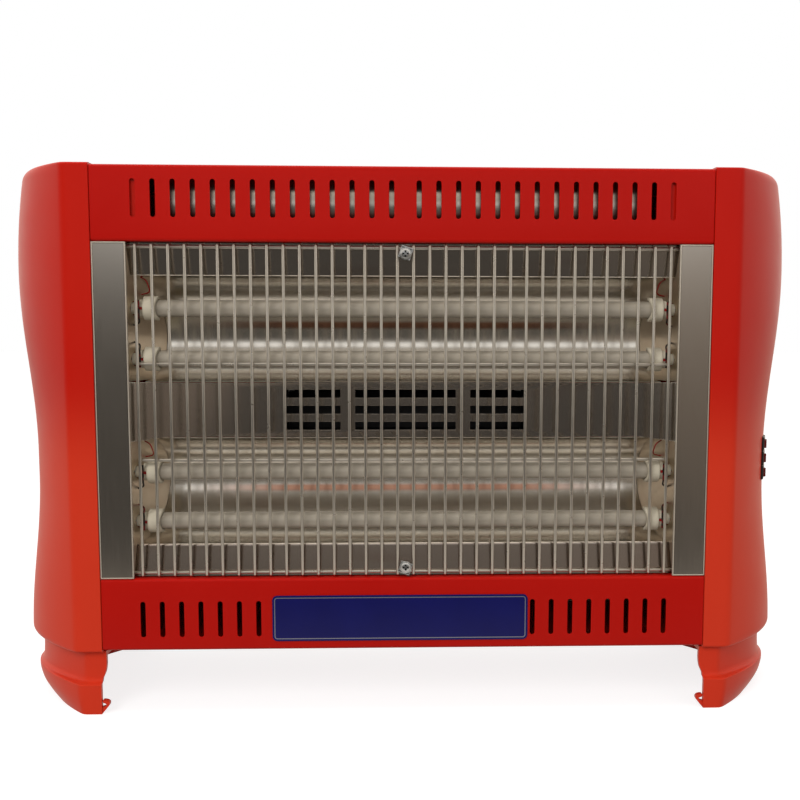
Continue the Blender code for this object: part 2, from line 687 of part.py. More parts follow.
# Vent plate: the flat strip between the troughs, with its ends slanting forward to the trim strips
VENT_EDGE = 0.0013
vent_low, vent_high = 2 * WINDOW_MID - vent_edge_z + VENT_EDGE, vent_edge_z - VENT_EDGE
half_path = [(VENT_HALF_X, behind(VENT_BACK)), (end_x(END_PLATE_FRONT), behind(END_PLATE_FRONT))]
half_path.append((TAB_X, behind(END_PLATE_FRONT)))
path = [(-x, y) for x, y in reversed(half_path)] + half_path
vent_plate = prism("vent_plate", sheet_outline(path, MIRROR_SHEET), vent_low, vent_high, "Z", MIRROR)
openings = bmesh.new()
for row in (-1, 0, 1):
    z = WINDOW_MID + row * VENT_ROW_PITCH
    for low, high in VENT_GROUPS:
        vent = rectangle(low, high, z - VENT_ROW_HEIGHT / 2, z + VENT_ROW_HEIGHT / 2)
        add_prism(openings, vent, behind(VENT_BACK - 0.002), behind(VENT_BACK + 0.003), "Y")
cut(vent_plate, openings)

# Heat shield: a bowed sheet over the upper trough, seen through the upper slots
SHIELD_HALF_X = VENT_HALF_X + 2 * MIRROR_SHEET
SHIELD_FRONT = 0.0110
SHIELD_BACK = 0.0780
SHIELD_LOW = WINDOW_HIGH + 0.0030
SHIELD_HIGH = CASE_TOP - SHEET - GAP

path = []
for i in range(9):
    turn = math.pi / 2 * i / 8
    y = behind(SHIELD_BACK - (SHIELD_BACK - SHIELD_FRONT) * math.cos(turn))
    path.append((y, SHIELD_LOW + (SHIELD_HIGH - SHIELD_LOW) * math.sin(turn)))
shield = sheet_outline(path[::-1], MIRROR_SHEET)
prism("top_heat_shield", shield, -SHIELD_HALF_X, SHIELD_HALF_X, "X", SHIELD)

# Quartz tubes, their ceramic caps and the heating coils inside
CERAMIC_WAIST = 0.0070
LEAD_END_X = CERAMIC_INNER_X + CERAMIC_LENGTH + NECK_LENGTH + 0.0030
COIL_HALF_LENGTH = 0.152
COIL_TAPER = 0.0060

bore = LEAD_RADIUS + GAP
mouth = TUBE_RADIUS + 2 * GAP
inner = CERAMIC_INNER_X
outer = inner + CERAMIC_LENGTH
ceramic_profile = (
    (inner, mouth),
    (inner, CERAMIC_RADIUS),
    (inner + 0.0026, CERAMIC_RADIUS),
    (inner + 0.0036, CERAMIC_WAIST),
    (outer - 0.0036, CERAMIC_WAIST),
    (outer - 0.0026, CERAMIC_RADIUS),
    (outer, CERAMIC_RADIUS - 0.0007),
    (outer, NECK_RADIUS),
    (outer + NECK_LENGTH, NECK_RADIUS - 0.0004),
    (outer + NECK_LENGTH, bore),
    (inner + SOCKET_DEPTH, bore),
    (inner + SOCKET_DEPTH, mouth),
)
tube_profile = [(-TUBE_HALF_LENGTH, TUBE_RADIUS), (TUBE_HALF_LENGTH, TUBE_RADIUS)]
tube_profile += [(x, r - TUBE_WALL) for x, r in reversed(tube_profile)]

for number, z in enumerate(tube_rows, 1):
    centre = (behind(TUBE_BACK), z)
    shape = bmesh.new()
    add_turned(shape, tube_profile, centre, 12)
    finish_object(f"quartz_tube_{number}", shape, QUARTZ)
    for side_name, side in (("left", -1), ("right", 1)):
        shape = bmesh.new()
        add_turned(shape, [(side * x, r) for x, r in ceramic_profile], centre, 10)
        finish_object(f"ceramic_cap_{number}_{side_name}", shape, CERAMIC)
    shape = bmesh.new()
    steps = [(COIL_HALF_LENGTH, COIL_RADIUS), (COIL_HALF_LENGTH + COIL_TAPER, LEAD_RADIUS)]
    steps.append((LEAD_END_X, LEAD_RADIUS))
    steps = [(-x, r) for x, r in reversed(steps)] + steps
    add_loft(shape, [[(x, y, z) for y, z in circle(*centre, r, 8)] for x, r in steps])
    finish_object(f"heating_coil_{number}", shape, COIL_WIRE)

# Guard grille: upright wires welded in front of four cross wires
weld = 0.0003
cross_back = WIRE_BACK + 2 * WIRE_RADIUS - weld
long_half_x = end_x(cross_back) - 0.0006
wire_low, wire_high = WINDOW_LOW + GRILLE_MARGIN, WINDOW_HIGH - GRILLE_MARGIN
wire_end = 0.0022

shape = bmesh.new()
for z, half in (
    (wire_high, long_half_x),
    (WINDOW_MID + CROSS_WIRE_OFFSET, GRILLE_HALF_X),
    (WINDOW_MID - CROSS_WIRE_OFFSET, GRILLE_HALF_X),
    (wire_low, long_half_x),
):
    add_round_bar(shape, (behind(cross_back), z), WIRE_RADIUS, -half, half, 6)
grille = finish_object("guard_grille", shape, WIRE)
shape = bmesh.new()
for i in range(WIRE_COUNT):
    x = (i - (WIRE_COUNT - 1) / 2) * WIRE_PITCH
    ends = wire_low - wire_end, wire_high + wire_end
    add_round_bar(shape, (x, behind(WIRE_BACK)), WIRE_RADIUS, *ends, 6, "Z")
join(grille, shape)

# Grille clips: each laps over two upright wires, hooks behind the end cross wire and takes one screw
CLIP_HALF_X = 0.0062
CLIP_LEG_HALF_X = 0.0040
CLIP_FRONT = 0.0018
CLIP_SHEET = 0.0008
CLIP_SCREW_HEAD = 0.0033
RECESS_LENGTH = 0.0036
RECESS_WIDTH = 0.0008

for name, flip in (("top", 1), ("bottom", -1)):
    z = WINDOW_MID + flip * (CLIP_SCREW_Z - WINDOW_MID)
    edge = WINDOW_MID + flip * (WINDOW_HIGH - 0.0014 - WINDOW_MID)
    leaf = sorted((edge, z - flip * 0.0042))
    shape = bmesh.new()
    ends = behind(CLIP_FRONT), behind(CLIP_FRONT + CLIP_SHEET)
    add_prism(shape, rectangle(-CLIP_HALF_X, CLIP_HALF_X, *leaf), *ends, "Y")
    clip = finish_object(f"grille_clip_{name}", shape, SCREW)
    shape = bmesh.new()
    leg = sorted((edge, edge - flip * CLIP_SHEET))
    leg_front, leg_back = behind(CLIP_FRONT + CLIP_SHEET / 2), behind(FLANGE_START - 0.0006)
    add_prism(shape, rectangle(leg_front, leg_back, *leg), -CLIP_LEG_HALF_X, CLIP_LEG_HALF_X, "X")
    join(clip, shape)
    hole = bmesh.new()
    add_prism(hole, circle(0.0, z, CLIP_SCREW_SHANK + GAP, 10), FRONT_Y, behind(CLIP_SCREW_FREE), "Y")
    cut(clip, hole)
    seat = behind(CLIP_FRONT - GAP)
    rings = (
        (behind(CLIP_SCREW_END), CLIP_SCREW_SHANK),
        (seat, CLIP_SCREW_SHANK),
        (seat, CLIP_SCREW_HEAD),
        (seat - 0.0008, CLIP_SCREW_HEAD * 0.93),
        (seat - 0.0013, CLIP_SCREW_HEAD * 0.62),
    )
    shape = bmesh.new()
    add_loft(shape, [[(a, y, b) for a, b in circle(0.0, z, r, 12)] for y, r in rings])
    screw = finish_object(f"grille_screw_{name}", shape, SCREW)
    for half_x, half_z in ((RECESS_LENGTH / 2, RECESS_WIDTH / 2), (RECESS_WIDTH / 2, RECESS_LENGTH / 2)):
        recess = bmesh.new()
        cross = rectangle(-half_x, half_x, z - half_z, z + half_z)
        add_prism(recess, cross, FRONT_Y - 0.001, seat - 0.0002, "Y")
        cut(screw, recess)

# Fan housing: a scroll under a tangential rotor, between two end walls that reach back to the intake slots
HOUSING_SHEET = 0.0010
HOUSING_FRONT = VENT_BACK + 0.0045
HOUSING_HALF_X = FAN_HALF_LENGTH + FAN_CLEARANCE
HOUSING_HALF_HEIGHT = 0.0340
HUB_RADIUS = 0.0075
HUB_LENGTH = 0.0045
TONGUE_GAP = 0.0285
fan_centre = (behind(FAN_BACK), WINDOW_MID)

duct_roof = WINDOW_MID + DUCT_HALF_HEIGHT
tongue = [(behind(HOUSING_FRONT), duct_roof), (behind(FAN_BACK - TONGUE_GAP), duct_roof)]
tongue.append((behind(FAN_BACK - TONGUE_GAP + 0.0025), duct_roof + 0.0035))
scroll = [(behind(HOUSING_FRONT), WINDOW_MID - DUCT_HALF_HEIGHT)]
for i in range(11):
    share = i / 10
    turn = math.radians(-145 + 140 * share)
    radius = FAN_RADIUS + FAN_CLEARANCE * (3 - 2 * share)
    scroll.append((fan_centre[0] + radius * math.cos(turn), fan_centre[1] + radius * math.sin(turn)))
scroll.append((scroll[-1][0], WINDOW_MID + 0.006))

shape = bmesh.new()
inside_wall = HOUSING_HALF_X + HOUSING_SHEET / 2
add_prism(shape, sheet_outline(tongue, HOUSING_SHEET), -inside_wall, inside_wall, "X")
add_prism(shape, sheet_outline(scroll[::-1], -HOUSING_SHEET)[::-1], -inside_wall, inside_wall, "X")
housing = finish_object("fan_housing", shape, ZINC)
shape = bmesh.new()
low, high = WINDOW_MID - HOUSING_HALF_HEIGHT - 0.003, WINDOW_MID + HOUSING_HALF_HEIGHT
nose = DUCT_HALF_HEIGHT + 0.0015
wall_front, wall_knee = behind(HOUSING_FRONT + 0.0015), behind(FAN_BACK - FAN_RADIUS)
wall_back = PANEL_OUTER - SHEET - GAP
wall = [(wall_front, WINDOW_MID - nose), (wall_knee, low), (wall_back, low)]
wall += [(wall_back, high), (wall_knee, high), (wall_front, WINDOW_MID + nose)]
for side in (-1, 1):
    add_prism(shape, wall, *sorted((side * HOUSING_HALF_X, side * (HOUSING_HALF_X + HOUSING_SHEET))), "X")
join(housing, shape)
shape = bmesh.new()
hub = sorted((-HOUSING_HALF_X - HOUSING_SHEET / 2, -HOUSING_HALF_X - HOUSING_SHEET - HUB_LENGTH))
add_round_bar(shape, fan_centre, HUB_RADIUS, *hub, 18)
join(housing, shape)
shape = bmesh.new()
near, far = HOUSING_HALF_X - 0.005, HOUSING_HALF_X + 0.020
add_round_bar(shape, fan_centre, SHAFT_RADIUS + BEARING_CLEARANCE, -far, -near, 24)
add_round_bar(shape, fan_centre, SHAFT_RADIUS + 2 * GAP, near, far, 24)
cut(housing, shape)

# Fan rotor: curved blades between two discs, a stub shaft at each end and the motor's core on the right
BLADE_INNER = 0.0205
BLADE_SWEEP = math.radians(16)
BLADE_SHEET = 0.0008
DISC_THICKNESS = 0.0014
MOTOR_NEAR_X = 0.1010
MOTOR_FAR_X = 0.1230
CORE_RADIUS = 0.0105

shape = bmesh.new()
for i in range(FAN_BLADES):
    path = []
    for k in range(3):
        share = k / 2
        turn = 2 * math.pi * i / FAN_BLADES + BLADE_SWEEP * share**2
        radius = BLADE_INNER + (FAN_RADIUS - 0.0004 - BLADE_INNER) * share
        path.append((fan_centre[0] + radius * math.cos(turn), fan_centre[1] + radius * math.sin(turn)))
    reach = FAN_HALF_LENGTH - DISC_THICKNESS / 2
    add_prism(shape, sheet_outline(path, BLADE_SHEET), -reach, reach, "X")
rotor = finish_object("fan_rotor", shape, FAN_ALLOY)
shape = bmesh.new()
for side in (-1, 1):
    ends = sorted((side * FAN_HALF_LENGTH, side * (FAN_HALF_LENGTH - DISC_THICKNESS)))
    add_round_bar(shape, fan_centre, FAN_RADIUS, *ends, 24)
join(rotor, shape)
shape = bmesh.new()
near = FAN_HALF_LENGTH - 0.0005
for low, high in ((-HOUSING_HALF_X - HUB_LENGTH, -near), (near, MOTOR_FAR_X + 0.0045)):
    add_round_bar(shape, fan_centre, SHAFT_RADIUS, low, high, 16)
join(rotor, shape)
shape = bmesh.new()
add_round_bar(shape, fan_centre, CORE_RADIUS, MOTOR_NEAR_X + 0.001, MOTOR_FAR_X - 0.001, 24)
join(rotor, shape)

# Fan motor: a laminated frame round the core, with its winding on the lower leg
FRAME_HALF_Y = 0.0200
FRAME_TOP = 0.0180
FRAME_BOTTOM = -0.0350
WINDOW_HALF_Y = 0.0130
LEG_TOP = -0.0277
SLOT_TOP = -0.0190
WINDING = 0.0045
STRAP_HALF_Z = 0.0055
STRAP_SHEET = 0.0015


def about_fan(y, z):
    return (fan_centre[0] + y, fan_centre[1] + z)


def across_fan(half_y, low, high):
    return [about_fan(y, z) for y, z in rectangle(-half_y, half_y, low, high)]


shape = bmesh.new()
add_prism(shape, across_fan(FRAME_HALF_Y, FRAME_BOTTOM, FRAME_TOP), MOTOR_NEAR_X, MOTOR_FAR_X, "X")
motor = finish_object("fan_motor", shape, CORE_STEEL)
shape = bmesh.new()
add_round_bar(shape, fan_centre, CORE_RADIUS + 0.0009, MOTOR_NEAR_X - 0.002, MOTOR_FAR_X + 0.002, 24)
slot = across_fan(WINDOW_HALF_Y, LEG_TOP, SLOT_TOP)
add_prism(shape, slot, MOTOR_NEAR_X - 0.002, MOTOR_FAR_X + 0.002, "X")
cut(motor, shape)
shape = bmesh.new()
strap = across_fan(FRAME_HALF_Y, -STRAP_HALF_Z, STRAP_HALF_Z)
add_prism(shape, strap, MOTOR_FAR_X - 0.0003, MOTOR_FAR_X + STRAP_SHEET, "X")
for y in (-FRAME_HALF_Y + 0.004, FRAME_HALF_Y - 0.004):
    spacer = about_fan(y, FRAME_TOP - 0.004)
    add_round_bar(shape, spacer, 0.0025, HOUSING_HALF_X + HOUSING_SHEET + GAP, MOTOR_NEAR_X + 0.001, 12)
join(motor, shape)
shape = bmesh.new()
ends = MOTOR_FAR_X - 0.002, MOTOR_FAR_X + 0.005
add_round_bar(shape, fan_centre, SHAFT_RADIUS + BEARING_CLEARANCE, *ends, 24)
cut(motor, shape)

shape = bmesh.new()
reach = WINDOW_HALF_Y - GAP
low, high = WINDOW_MID + FRAME_BOTTOM - WINDING, WINDOW_MID + LEG_TOP + WINDING
coil = rectangle(MOTOR_NEAR_X - WINDING, MOTOR_FAR_X + WINDING, low, high)
add_prism(shape, coil, fan_centre[0] - reach, fan_centre[0] + reach, "Y")
winding = finish_object("motor_winding", shape, COPPER)
shape = bmesh.new()
leg_low, leg_high = WINDOW_MID + FRAME_BOTTOM - GAP, WINDOW_MID + LEG_TOP + GAP
leg = rectangle(MOTOR_NEAR_X - GAP, MOTOR_FAR_X + GAP, leg_low, leg_high)
add_prism(shape, leg, fan_centre[0] - 2 * reach, fan_centre[0] + 2 * reach, "Y")
cut(winding, shape)

# Rocker switches: a flat seat and three openings in the right cap, each with a body, its bezel and a rocker
SEAT_DEPTH = 0.0008
BODY_HALF_LENGTH = 0.0077
BODY_HALF_WIDTH = 0.0045
PIVOT_DEPTH = 0.0016
ROCKER_HOLLOW = 0.0020
ROCKER_END_RISE = 0.0036


def placed(shape, frame):
    bmesh.ops.transform(shape, matrix=frame, verts=shape.verts)
    return shape


frames = list(switch_frames())
right_cap = bpy.data.objects["right_side_cap"]
seat = bmesh.new()
seat_half_z = SWITCH_PITCH + BEZEL_WIDTH / 2 + 2 * GAP
seat_half_y = BEZEL_LENGTH / 2 + 2 * GAP
add_prism(seat, rectangle(-seat_half_y, seat_half_y, -seat_half_z, seat_half_z), -SEAT_DEPTH, 0.006, "X")
cut(right_cap, placed(seat, frames[1]))

rocker_end = math.sqrt(ROCKER_RADIUS**2 - ROCKER_END_RISE**2)
rocker_outline = [(0.0, ROCKER_HOLLOW), (-rocker_end, ROCKER_END_RISE)]
for degrees in (180, 198, 216, 242):
    reach = ROCKER_RADIUS * (1.0 if degrees < 200 else 0.86)
    turn = math.radians(degrees)
    rocker_outline.append((reach * math.cos(turn), reach * math.sin(turn)))
rocker_outline += [(-a, b) for a, b in reversed(rocker_outline[1:])]

for number, frame in enumerate(frames, 1):
    opening = bmesh.new()
    half_y, half_z = BODY_HALF_LENGTH + GAP, BODY_HALF_WIDTH + GAP
    add_prism(opening, rectangle(-half_y, half_y, -half_z, half_z), -0.008, 0.004, "X")
    cut(right_cap, placed(opening, frame))

    shape = bmesh.new()
    outline = rectangle(-BODY_HALF_LENGTH, BODY_HALF_LENGTH, -BODY_HALF_WIDTH, BODY_HALF_WIDTH)
    add_prism(shape, outline, -SWITCH_BODY_DEPTH, 0.0002, "X")
    body = finish_object(f"switch_body_{number}", placed(shape, frame), BLACK_PLASTIC)
    shape = bmesh.new()
    rings = []
    for x, inset in ((GAP - SEAT_DEPTH, 0.0), (BEZEL_PROUD - 0.0004, 0.0), (BEZEL_PROUD, 0.0005)):
        half_y, half_z = BEZEL_LENGTH / 2 - inset, BEZEL_WIDTH / 2 - inset
        rings.append([(x, y, z) for y, z in rectangle(-half_y, half_y, -half_z, half_z)])
    add_loft(shape, rings)
    join(body, placed(shape, frame))
    shape = bmesh.new()
    half_y, half_z = ROCKER_RADIUS + GAP, ROCKER_WIDTH / 2 + GAP
    floor_x = -PIVOT_DEPTH - ROCKER_RADIUS
    add_prism(shape, rectangle(-half_y, half_y, -half_z, half_z), floor_x, 0.004, "X")
    cut(body, placed(shape, frame))

    pivot = frame @ Matrix.Translation((-PIVOT_DEPTH, 0.0, 0.0))
    shape = bmesh.new()
    tilted = [Matrix.Rotation(ROCKER_TILT, 2) @ Vector((b, a)) for a, b in rocker_outline]
    add_prism(shape, [tuple(p) for p in tilted], -ROCKER_WIDTH / 2, ROCKER_WIDTH / 2, "Z")
    turned = Matrix.Rotation(math.atan2(pivot[1][0], pivot[0][0]), 4, "Z")
    rocker = finish_object(f"rocker_{number}", placed(shape, turned), DARK_RED)
    rocker.location = pivot.translation

# Nameplate: a bare plate with rounded corners on the lower band
PLATE_LOW_X = -0.0925
PLATE_HIGH_X = 0.0853
PLATE_LOW_Z = 0.0512
PLATE_HIGH_Z = 0.0835
PLATE_ROUND = 0.0035
PLATE_SHEET = 0.0006

outline = []
for cx, cz, first in (
    (PLATE_HIGH_X - PLATE_ROUND, PLATE_HIGH_Z - PLATE_ROUND, 0),
    (PLATE_LOW_X + PLATE_ROUND, PLATE_HIGH_Z - PLATE_ROUND, 90),
    (PLATE_LOW_X + PLATE_ROUND, PLATE_LOW_Z + PLATE_ROUND, 180),
    (PLATE_HIGH_X - PLATE_ROUND, PLATE_LOW_Z + PLATE_ROUND, 270),
):
    for degrees in (0, 30, 60, 90):
        turn = math.radians(first + degrees)
        outline.append((cx + PLATE_ROUND * math.cos(turn), cz + PLATE_ROUND * math.sin(turn)))
prism("nameplate", outline, PANEL_Y - GAP - PLATE_SHEET, PANEL_Y - GAP, "Y", BLUE_PLATE)

# Terminal block on the floor, near the cord's opening
BLOCK_X = 0.150
BLOCK_Y = 0.046
BLOCK_HALF_X = 0.0180
BLOCK_HALF_Y = 0.0085
BLOCK_HEIGHT = 0.0135
block_low = CASE_BOTTOM + SHEET + GAP

outline = rectangle(-BLOCK_HALF_X, BLOCK_HALF_X, -BLOCK_HALF_Y, BLOCK_HALF_Y)
outline = [(BLOCK_X + x, BLOCK_Y + y) for x, y in outline]
terminal_block = prism("terminal_block", outline, block_low, block_low + BLOCK_HEIGHT, "Z", CERAMIC)
openings = bmesh.new()
for i in (-1, 0, 1):
    x = BLOCK_X + i * 0.0105
    add_prism(openings, circle(x, block_low + 0.0055, 0.0020, 8), BLOCK_Y - 0.02, BLOCK_Y + 0.02, "Y")
    add_prism(openings, circle(x, BLOCK_Y, 0.0026, 8), block_low + 0.0095, block_low + 0.02, "Z")
cut(terminal_block, openings)
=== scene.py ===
"""Looks of a quartz radiant heater: fine surfaces, finishes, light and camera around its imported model.

Metres, +Z up, and the window faces -Y. Depths called "behind the front" are measured from the front faces
of the side caps.
"""

import math

import bmesh
import bpy
from mathutils import Matrix, Vector


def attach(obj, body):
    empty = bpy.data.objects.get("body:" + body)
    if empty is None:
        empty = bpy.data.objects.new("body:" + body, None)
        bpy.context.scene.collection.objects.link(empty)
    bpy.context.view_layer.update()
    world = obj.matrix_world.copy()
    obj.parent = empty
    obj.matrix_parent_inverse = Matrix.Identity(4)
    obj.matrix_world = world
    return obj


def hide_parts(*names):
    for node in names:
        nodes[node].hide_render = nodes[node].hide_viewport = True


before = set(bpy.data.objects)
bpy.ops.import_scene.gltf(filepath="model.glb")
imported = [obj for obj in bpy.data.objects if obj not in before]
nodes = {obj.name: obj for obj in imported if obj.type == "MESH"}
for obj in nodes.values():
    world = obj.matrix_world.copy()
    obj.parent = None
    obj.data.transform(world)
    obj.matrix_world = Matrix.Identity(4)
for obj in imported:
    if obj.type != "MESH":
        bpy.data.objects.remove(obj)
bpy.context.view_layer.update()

# Camera. It stands level with the upper tubes, a little in front of the middle, and looks slightly down.
# The picture is cropped off-centre, which the shift follows.

FRONT_Y = -0.080
CAMERA_BACK = 0.7488
CAMERA_X = -0.0027
CAMERA_Z = 0.2824
LOOK_RIGHT = math.radians(2.251)
LOOK_DOWN = math.radians(6.074)
ROLL = math.radians(0.186)
LENS = 49.5
SENSOR = 36.0
SHIFT_X = -0.0558
SHIFT_Y = 0.0308

camera = bpy.data.objects.new("camera", bpy.data.cameras.new("camera"))
camera.data.lens = LENS
camera.data.sensor_width = SENSOR
camera.data.shift_x = SHIFT_X
camera.data.shift_y = SHIFT_Y
camera.matrix_world = (
    Matrix.Translation((CAMERA_X, FRONT_Y - CAMERA_BACK, CAMERA_Z))
    @ Matrix.Rotation(-LOOK_RIGHT, 4, "Z")
    @ Matrix.Rotation(math.pi / 2 - LOOK_DOWN, 4, "X")
    @ Matrix.Rotation(ROLL, 4, "Z")
)
bpy.context.scene.collection.objects.link(camera)
bpy.context.scene.camera = camera
bpy.context.scene.view_settings.view_transform = "Standard"

# Studio. Three soft panels light the heater, and a white surround shows behind it. Metal sees neither: it
# reflects a faint strip and a dim room in front, brighter at the sides and overhead, with a warm wall on the
# right.


class Flow:
    """A node's output. Arithmetic on it adds Math nodes."""

    def __init__(self, shading, socket):
        self.shading = shading
        self.socket = socket

    def maths(self, operation, *values):
        return self.shading.add("Math", {"operation": operation}, dict(enumerate(values)))

    def __add__(self, other):
        return self.maths("ADD", self, other)

    def __sub__(self, other):
        return self.maths("SUBTRACT", self, other)

    def __mul__(self, other):
        return self.maths("MULTIPLY", self, other)

    def __rsub__(self, other):
        return self.maths("SUBTRACT", other, self)

    def __abs__(self):
        return self.maths("ABSOLUTE", self)

    __radd__ = __add__
    __rmul__ = __mul__

    def largest(self, other):
        return self.maths("MAXIMUM", self, other)

    def fade(self, start, end):
        """0 at start and 1 at end, smooth between them."""
        ends = (0.0, 1.0) if start < end else (1.0, 0.0)
        sockets = {"Value": self, "From Min": min(start, end), "From Max": max(start, end)}
        sockets |= {"To Min": ends[0], "To Max": ends[1]}
        return self.shading.add("MapRange", {"interpolation_type": "SMOOTHSTEP"}, sockets)


class Shading:
    """The shader tree of a material or of the world."""

    def __init__(self, owner):
        owner.use_nodes = True
        self.tree = owner.node_tree

    def add(self, kind, settings=None, sockets=None, output=0):
        """Adds a node: its settings first, then the values or links of its sockets."""
        node = self.tree.nodes.new("ShaderNode" + kind)
        for name, value in (settings or {}).items():
            setattr(node, name, value)
        self.join(node, sockets or {})
        return Flow(self, node.outputs[output])

    def join(self, node, sockets):
        for key, value in sockets.items():
            if isinstance(value, Flow):
                self.tree.links.new(value.socket, node.inputs[key])
            else:
                node.inputs[key].default_value = value

    def axes(self, coordinates):
        """The three parts of a vector output."""
        split = self.add("SeparateXYZ", {}, {0: coordinates}).socket.node
        return [Flow(self, output) for output in split.outputs]


def add_panel(name, spot, aim, width, height, power):
    lamp = bpy.data.lights.new(name, "AREA")
    lamp.shape = "RECTANGLE"
    lamp.size = width
    lamp.size_y = height
    lamp.energy = power
    made = bpy.data.objects.new(name, lamp)
    made.location = spot
    made.rotation_euler = (Vector(aim) - Vector(spot)).to_track_quat("-Z", "Y").to_euler()
    bpy.context.scene.collection.objects.link(made)
    return made


KEY_POWER = 25.5
FILL_POWER = 5.0
TOP_POWER = 10.0
STRIP_POWER = 0.8

for panel in (
    add_panel("key_panel", (-0.9, -1.9, 1.5), (0.0, 0.0, 0.2), 1.1, 1.1, KEY_POWER),
    add_panel("fill_panel", (1.3, -1.7, 0.9), (0.0, 0.0, 0.2), 1.0, 1.0, FILL_POWER),
    add_panel("top_panel", (0.0, 0.1, 1.6), (0.0, 0.0, 0.0), 1.6, 1.0, TOP_POWER),
):
    panel.visible_glossy = False
add_panel("front_strip", (0.0, -1.5, 0.54), (0.0, 0.0, 0.25), 1.4, 0.26, STRIP_POWER)

DIFFUSE_LEVEL = 0.38
FRONT_LEVEL = 0.065
HORIZON_LEVEL = 0.16
OVERHEAD_LEVEL = 0.48
SIDE_LEVEL = 1.40
WALL_LEVEL = 0.20
ROOM_COLOUR = (1.0, 0.905, 0.79, 1.0)
WALL_COLOUR = (1.0, 0.80, 0.64, 1.0)

world = bpy.data.worlds.new("studio")
bpy.context.scene.world = world
room = Shading(world)
rays = room.add("LightPath").socket.node.outputs
seen = Flow(room, rays["Is Camera Ray"]).largest(Flow(room, rays["Is Transmission Ray"]))
right, back, up = room.axes(room.add("TexCoord", output="Generated"))
front = up.fade(-0.03, 0.07) * HORIZON_LEVEL + up.fade(0.10, 0.80) * OVERHEAD_LEVEL + FRONT_LEVEL
side = back.fade(-0.88, -0.15)
strength = front + (SIDE_LEVEL - front) * side
wall = right.fade(0.10, 0.22) * right.fade(0.62, 0.36) * up.fade(0.14, 0.03)
surround = room.add("Background", {}, {"Color": ROOM_COLOUR, "Strength": strength})
warm_wall = room.add("Background", {}, {"Color": WALL_COLOUR, "Strength": wall * WALL_LEVEL})
reflected = room.add("AddShader", {}, {0: surround, 1: warm_wall})
ambient = room.add("Background", {}, {"Color": (1.0, 0.985, 0.96, 1.0), "Strength": DIFFUSE_LEVEL})
white = room.add("Background", {}, {"Color": (1.0, 1.0, 1.0, 1.0), "Strength": 1.0})
by_gloss = room.add("MixShader", {}, {0: Flow(room, rays["Is Glossy Ray"]), 1: ambient, 2: reflected})
by_view = room.add("MixShader", {}, {0: seen, 1: by_gloss, 2: white})
room.join(room.tree.nodes["World Output"], {"Surface": by_view})

# Floor. A sheet of white paper that runs out of view, lit a little extra for the camera so that only the
# shadow shows. Metal sees it dimmer, brightest close to the heater, and warm towards the right.


class Finish(Shading):
    """A surface finish: one Principled shader and the nodes that vary its colour, gloss and relief."""

    def __init__(self, name, colour, roughness, metallic=0.0, constants=None):
        self.material = bpy.data.materials.new(name)
        super().__init__(self.material)
        self.shader = self.tree.nodes["Principled BSDF"]
        self.relief = None
        self.place = self.add("TexCoord", output="Object")
        self.set("Base Color", colour)
        self.set("Roughness", roughness)
        self.set("Metallic", metallic)
        self.join(self.shader, constants or {})

    def set(self, socket, value):
        self.join(self.shader, {socket: value})

    def noise(self, size, stretch=(1, 1, 1), detail=2.0, seed=0.0):
        """Soft noise from about 0 to 1. size is the width of its blobs in metres."""
        scale = tuple(1 / (size * s) for s in stretch)
        shift = {"Vector": self.place, "Location": (seed, seed * 0.7, seed * 1.3), "Scale": scale}
        moved = self.add("Mapping", {}, shift)
        return self.add("TexNoise", {}, {"Vector": moved, "Scale": 1.0, "Detail": detail})

    def mix(self, first, second, share):
        """A colour between two colours, which may themselves be mixed colours."""
        return self.add("Mix", {"data_type": "RGBA"}, {"Factor": share, 6: first, 7: second}, 2)

    def bump(self, height, depth):
        """Relief whose height of 1 stands this many metres proud."""
        sockets = {"Height": height, "Distance": depth, "Strength": 1.0}
        if self.relief is not None:
            sockets["Normal"] = self.relief
        self.relief = self.add("Bump", {}, sockets)
        self.set("Normal", self.relief)

    def on(self, *names):
        """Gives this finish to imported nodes, by name."""
        for name in names:
            mesh = nodes[name].data
            mesh.materials.clear()
            mesh.materials.append(self.material)


def new_object(name, shape, sharp=30):
    """Turns a bmesh into an object whose faces point out and whose sharp edges stay crisp."""
    bmesh.ops.recalc_face_normals(shape, faces=shape.faces)
    mesh = bpy.data.meshes.new(name)
    shape.to_mesh(mesh)
    shape.free()
    mesh.shade_smooth()
    mesh.set_sharp_from_angle(angle=math.radians(sharp))
    made = bpy.data.objects.new(name, mesh)
    bpy.context.scene.collection.objects.link(made)
    return made


def add_loft(shape, rings):
    """Adds a closed skin over rings of equally many points, with a flat face at each end."""
    grid = [[shape.verts.new(point) for point in ring] for ring in rings]
    count = len(grid[0])
    for low, high in zip(grid, grid[1:]):
        for i in range(count):
            j = (i + 1) % count
            shape.faces.new((low[i], low[j], high[j], high[i]))
    shape.faces.new(grid[0][::-1])
    shape.faces.new(grid[-1])


def place(axis, a, b, along):
    """A point of an outline in the plane across an axis, moved along that axis."""
    return {"X": (along, a, b), "Y": (a, along, b), "Z": (a, b, along)}[axis]


def add_prism(shape, outline, low, high, axis):
    add_loft(shape, [[place(axis, a, b, end) for a, b in outline] for end in (low, high)])


def rectangle(a_low, a_high, b_low, b_high):
    return [(a_low, b_low), (a_high, b_low), (a_high, b_high), (a_low, b_high)]


FLOOR_HALF = 6.0
FLOOR_DEPTH = 0.02
FLOOR_LIFT = 0.82
FLOOR_FRONT_LEVEL = 0.07
FLOOR_NEAR_LEVEL = 0.75
FLOOR_WARM_LEVEL = 0.10

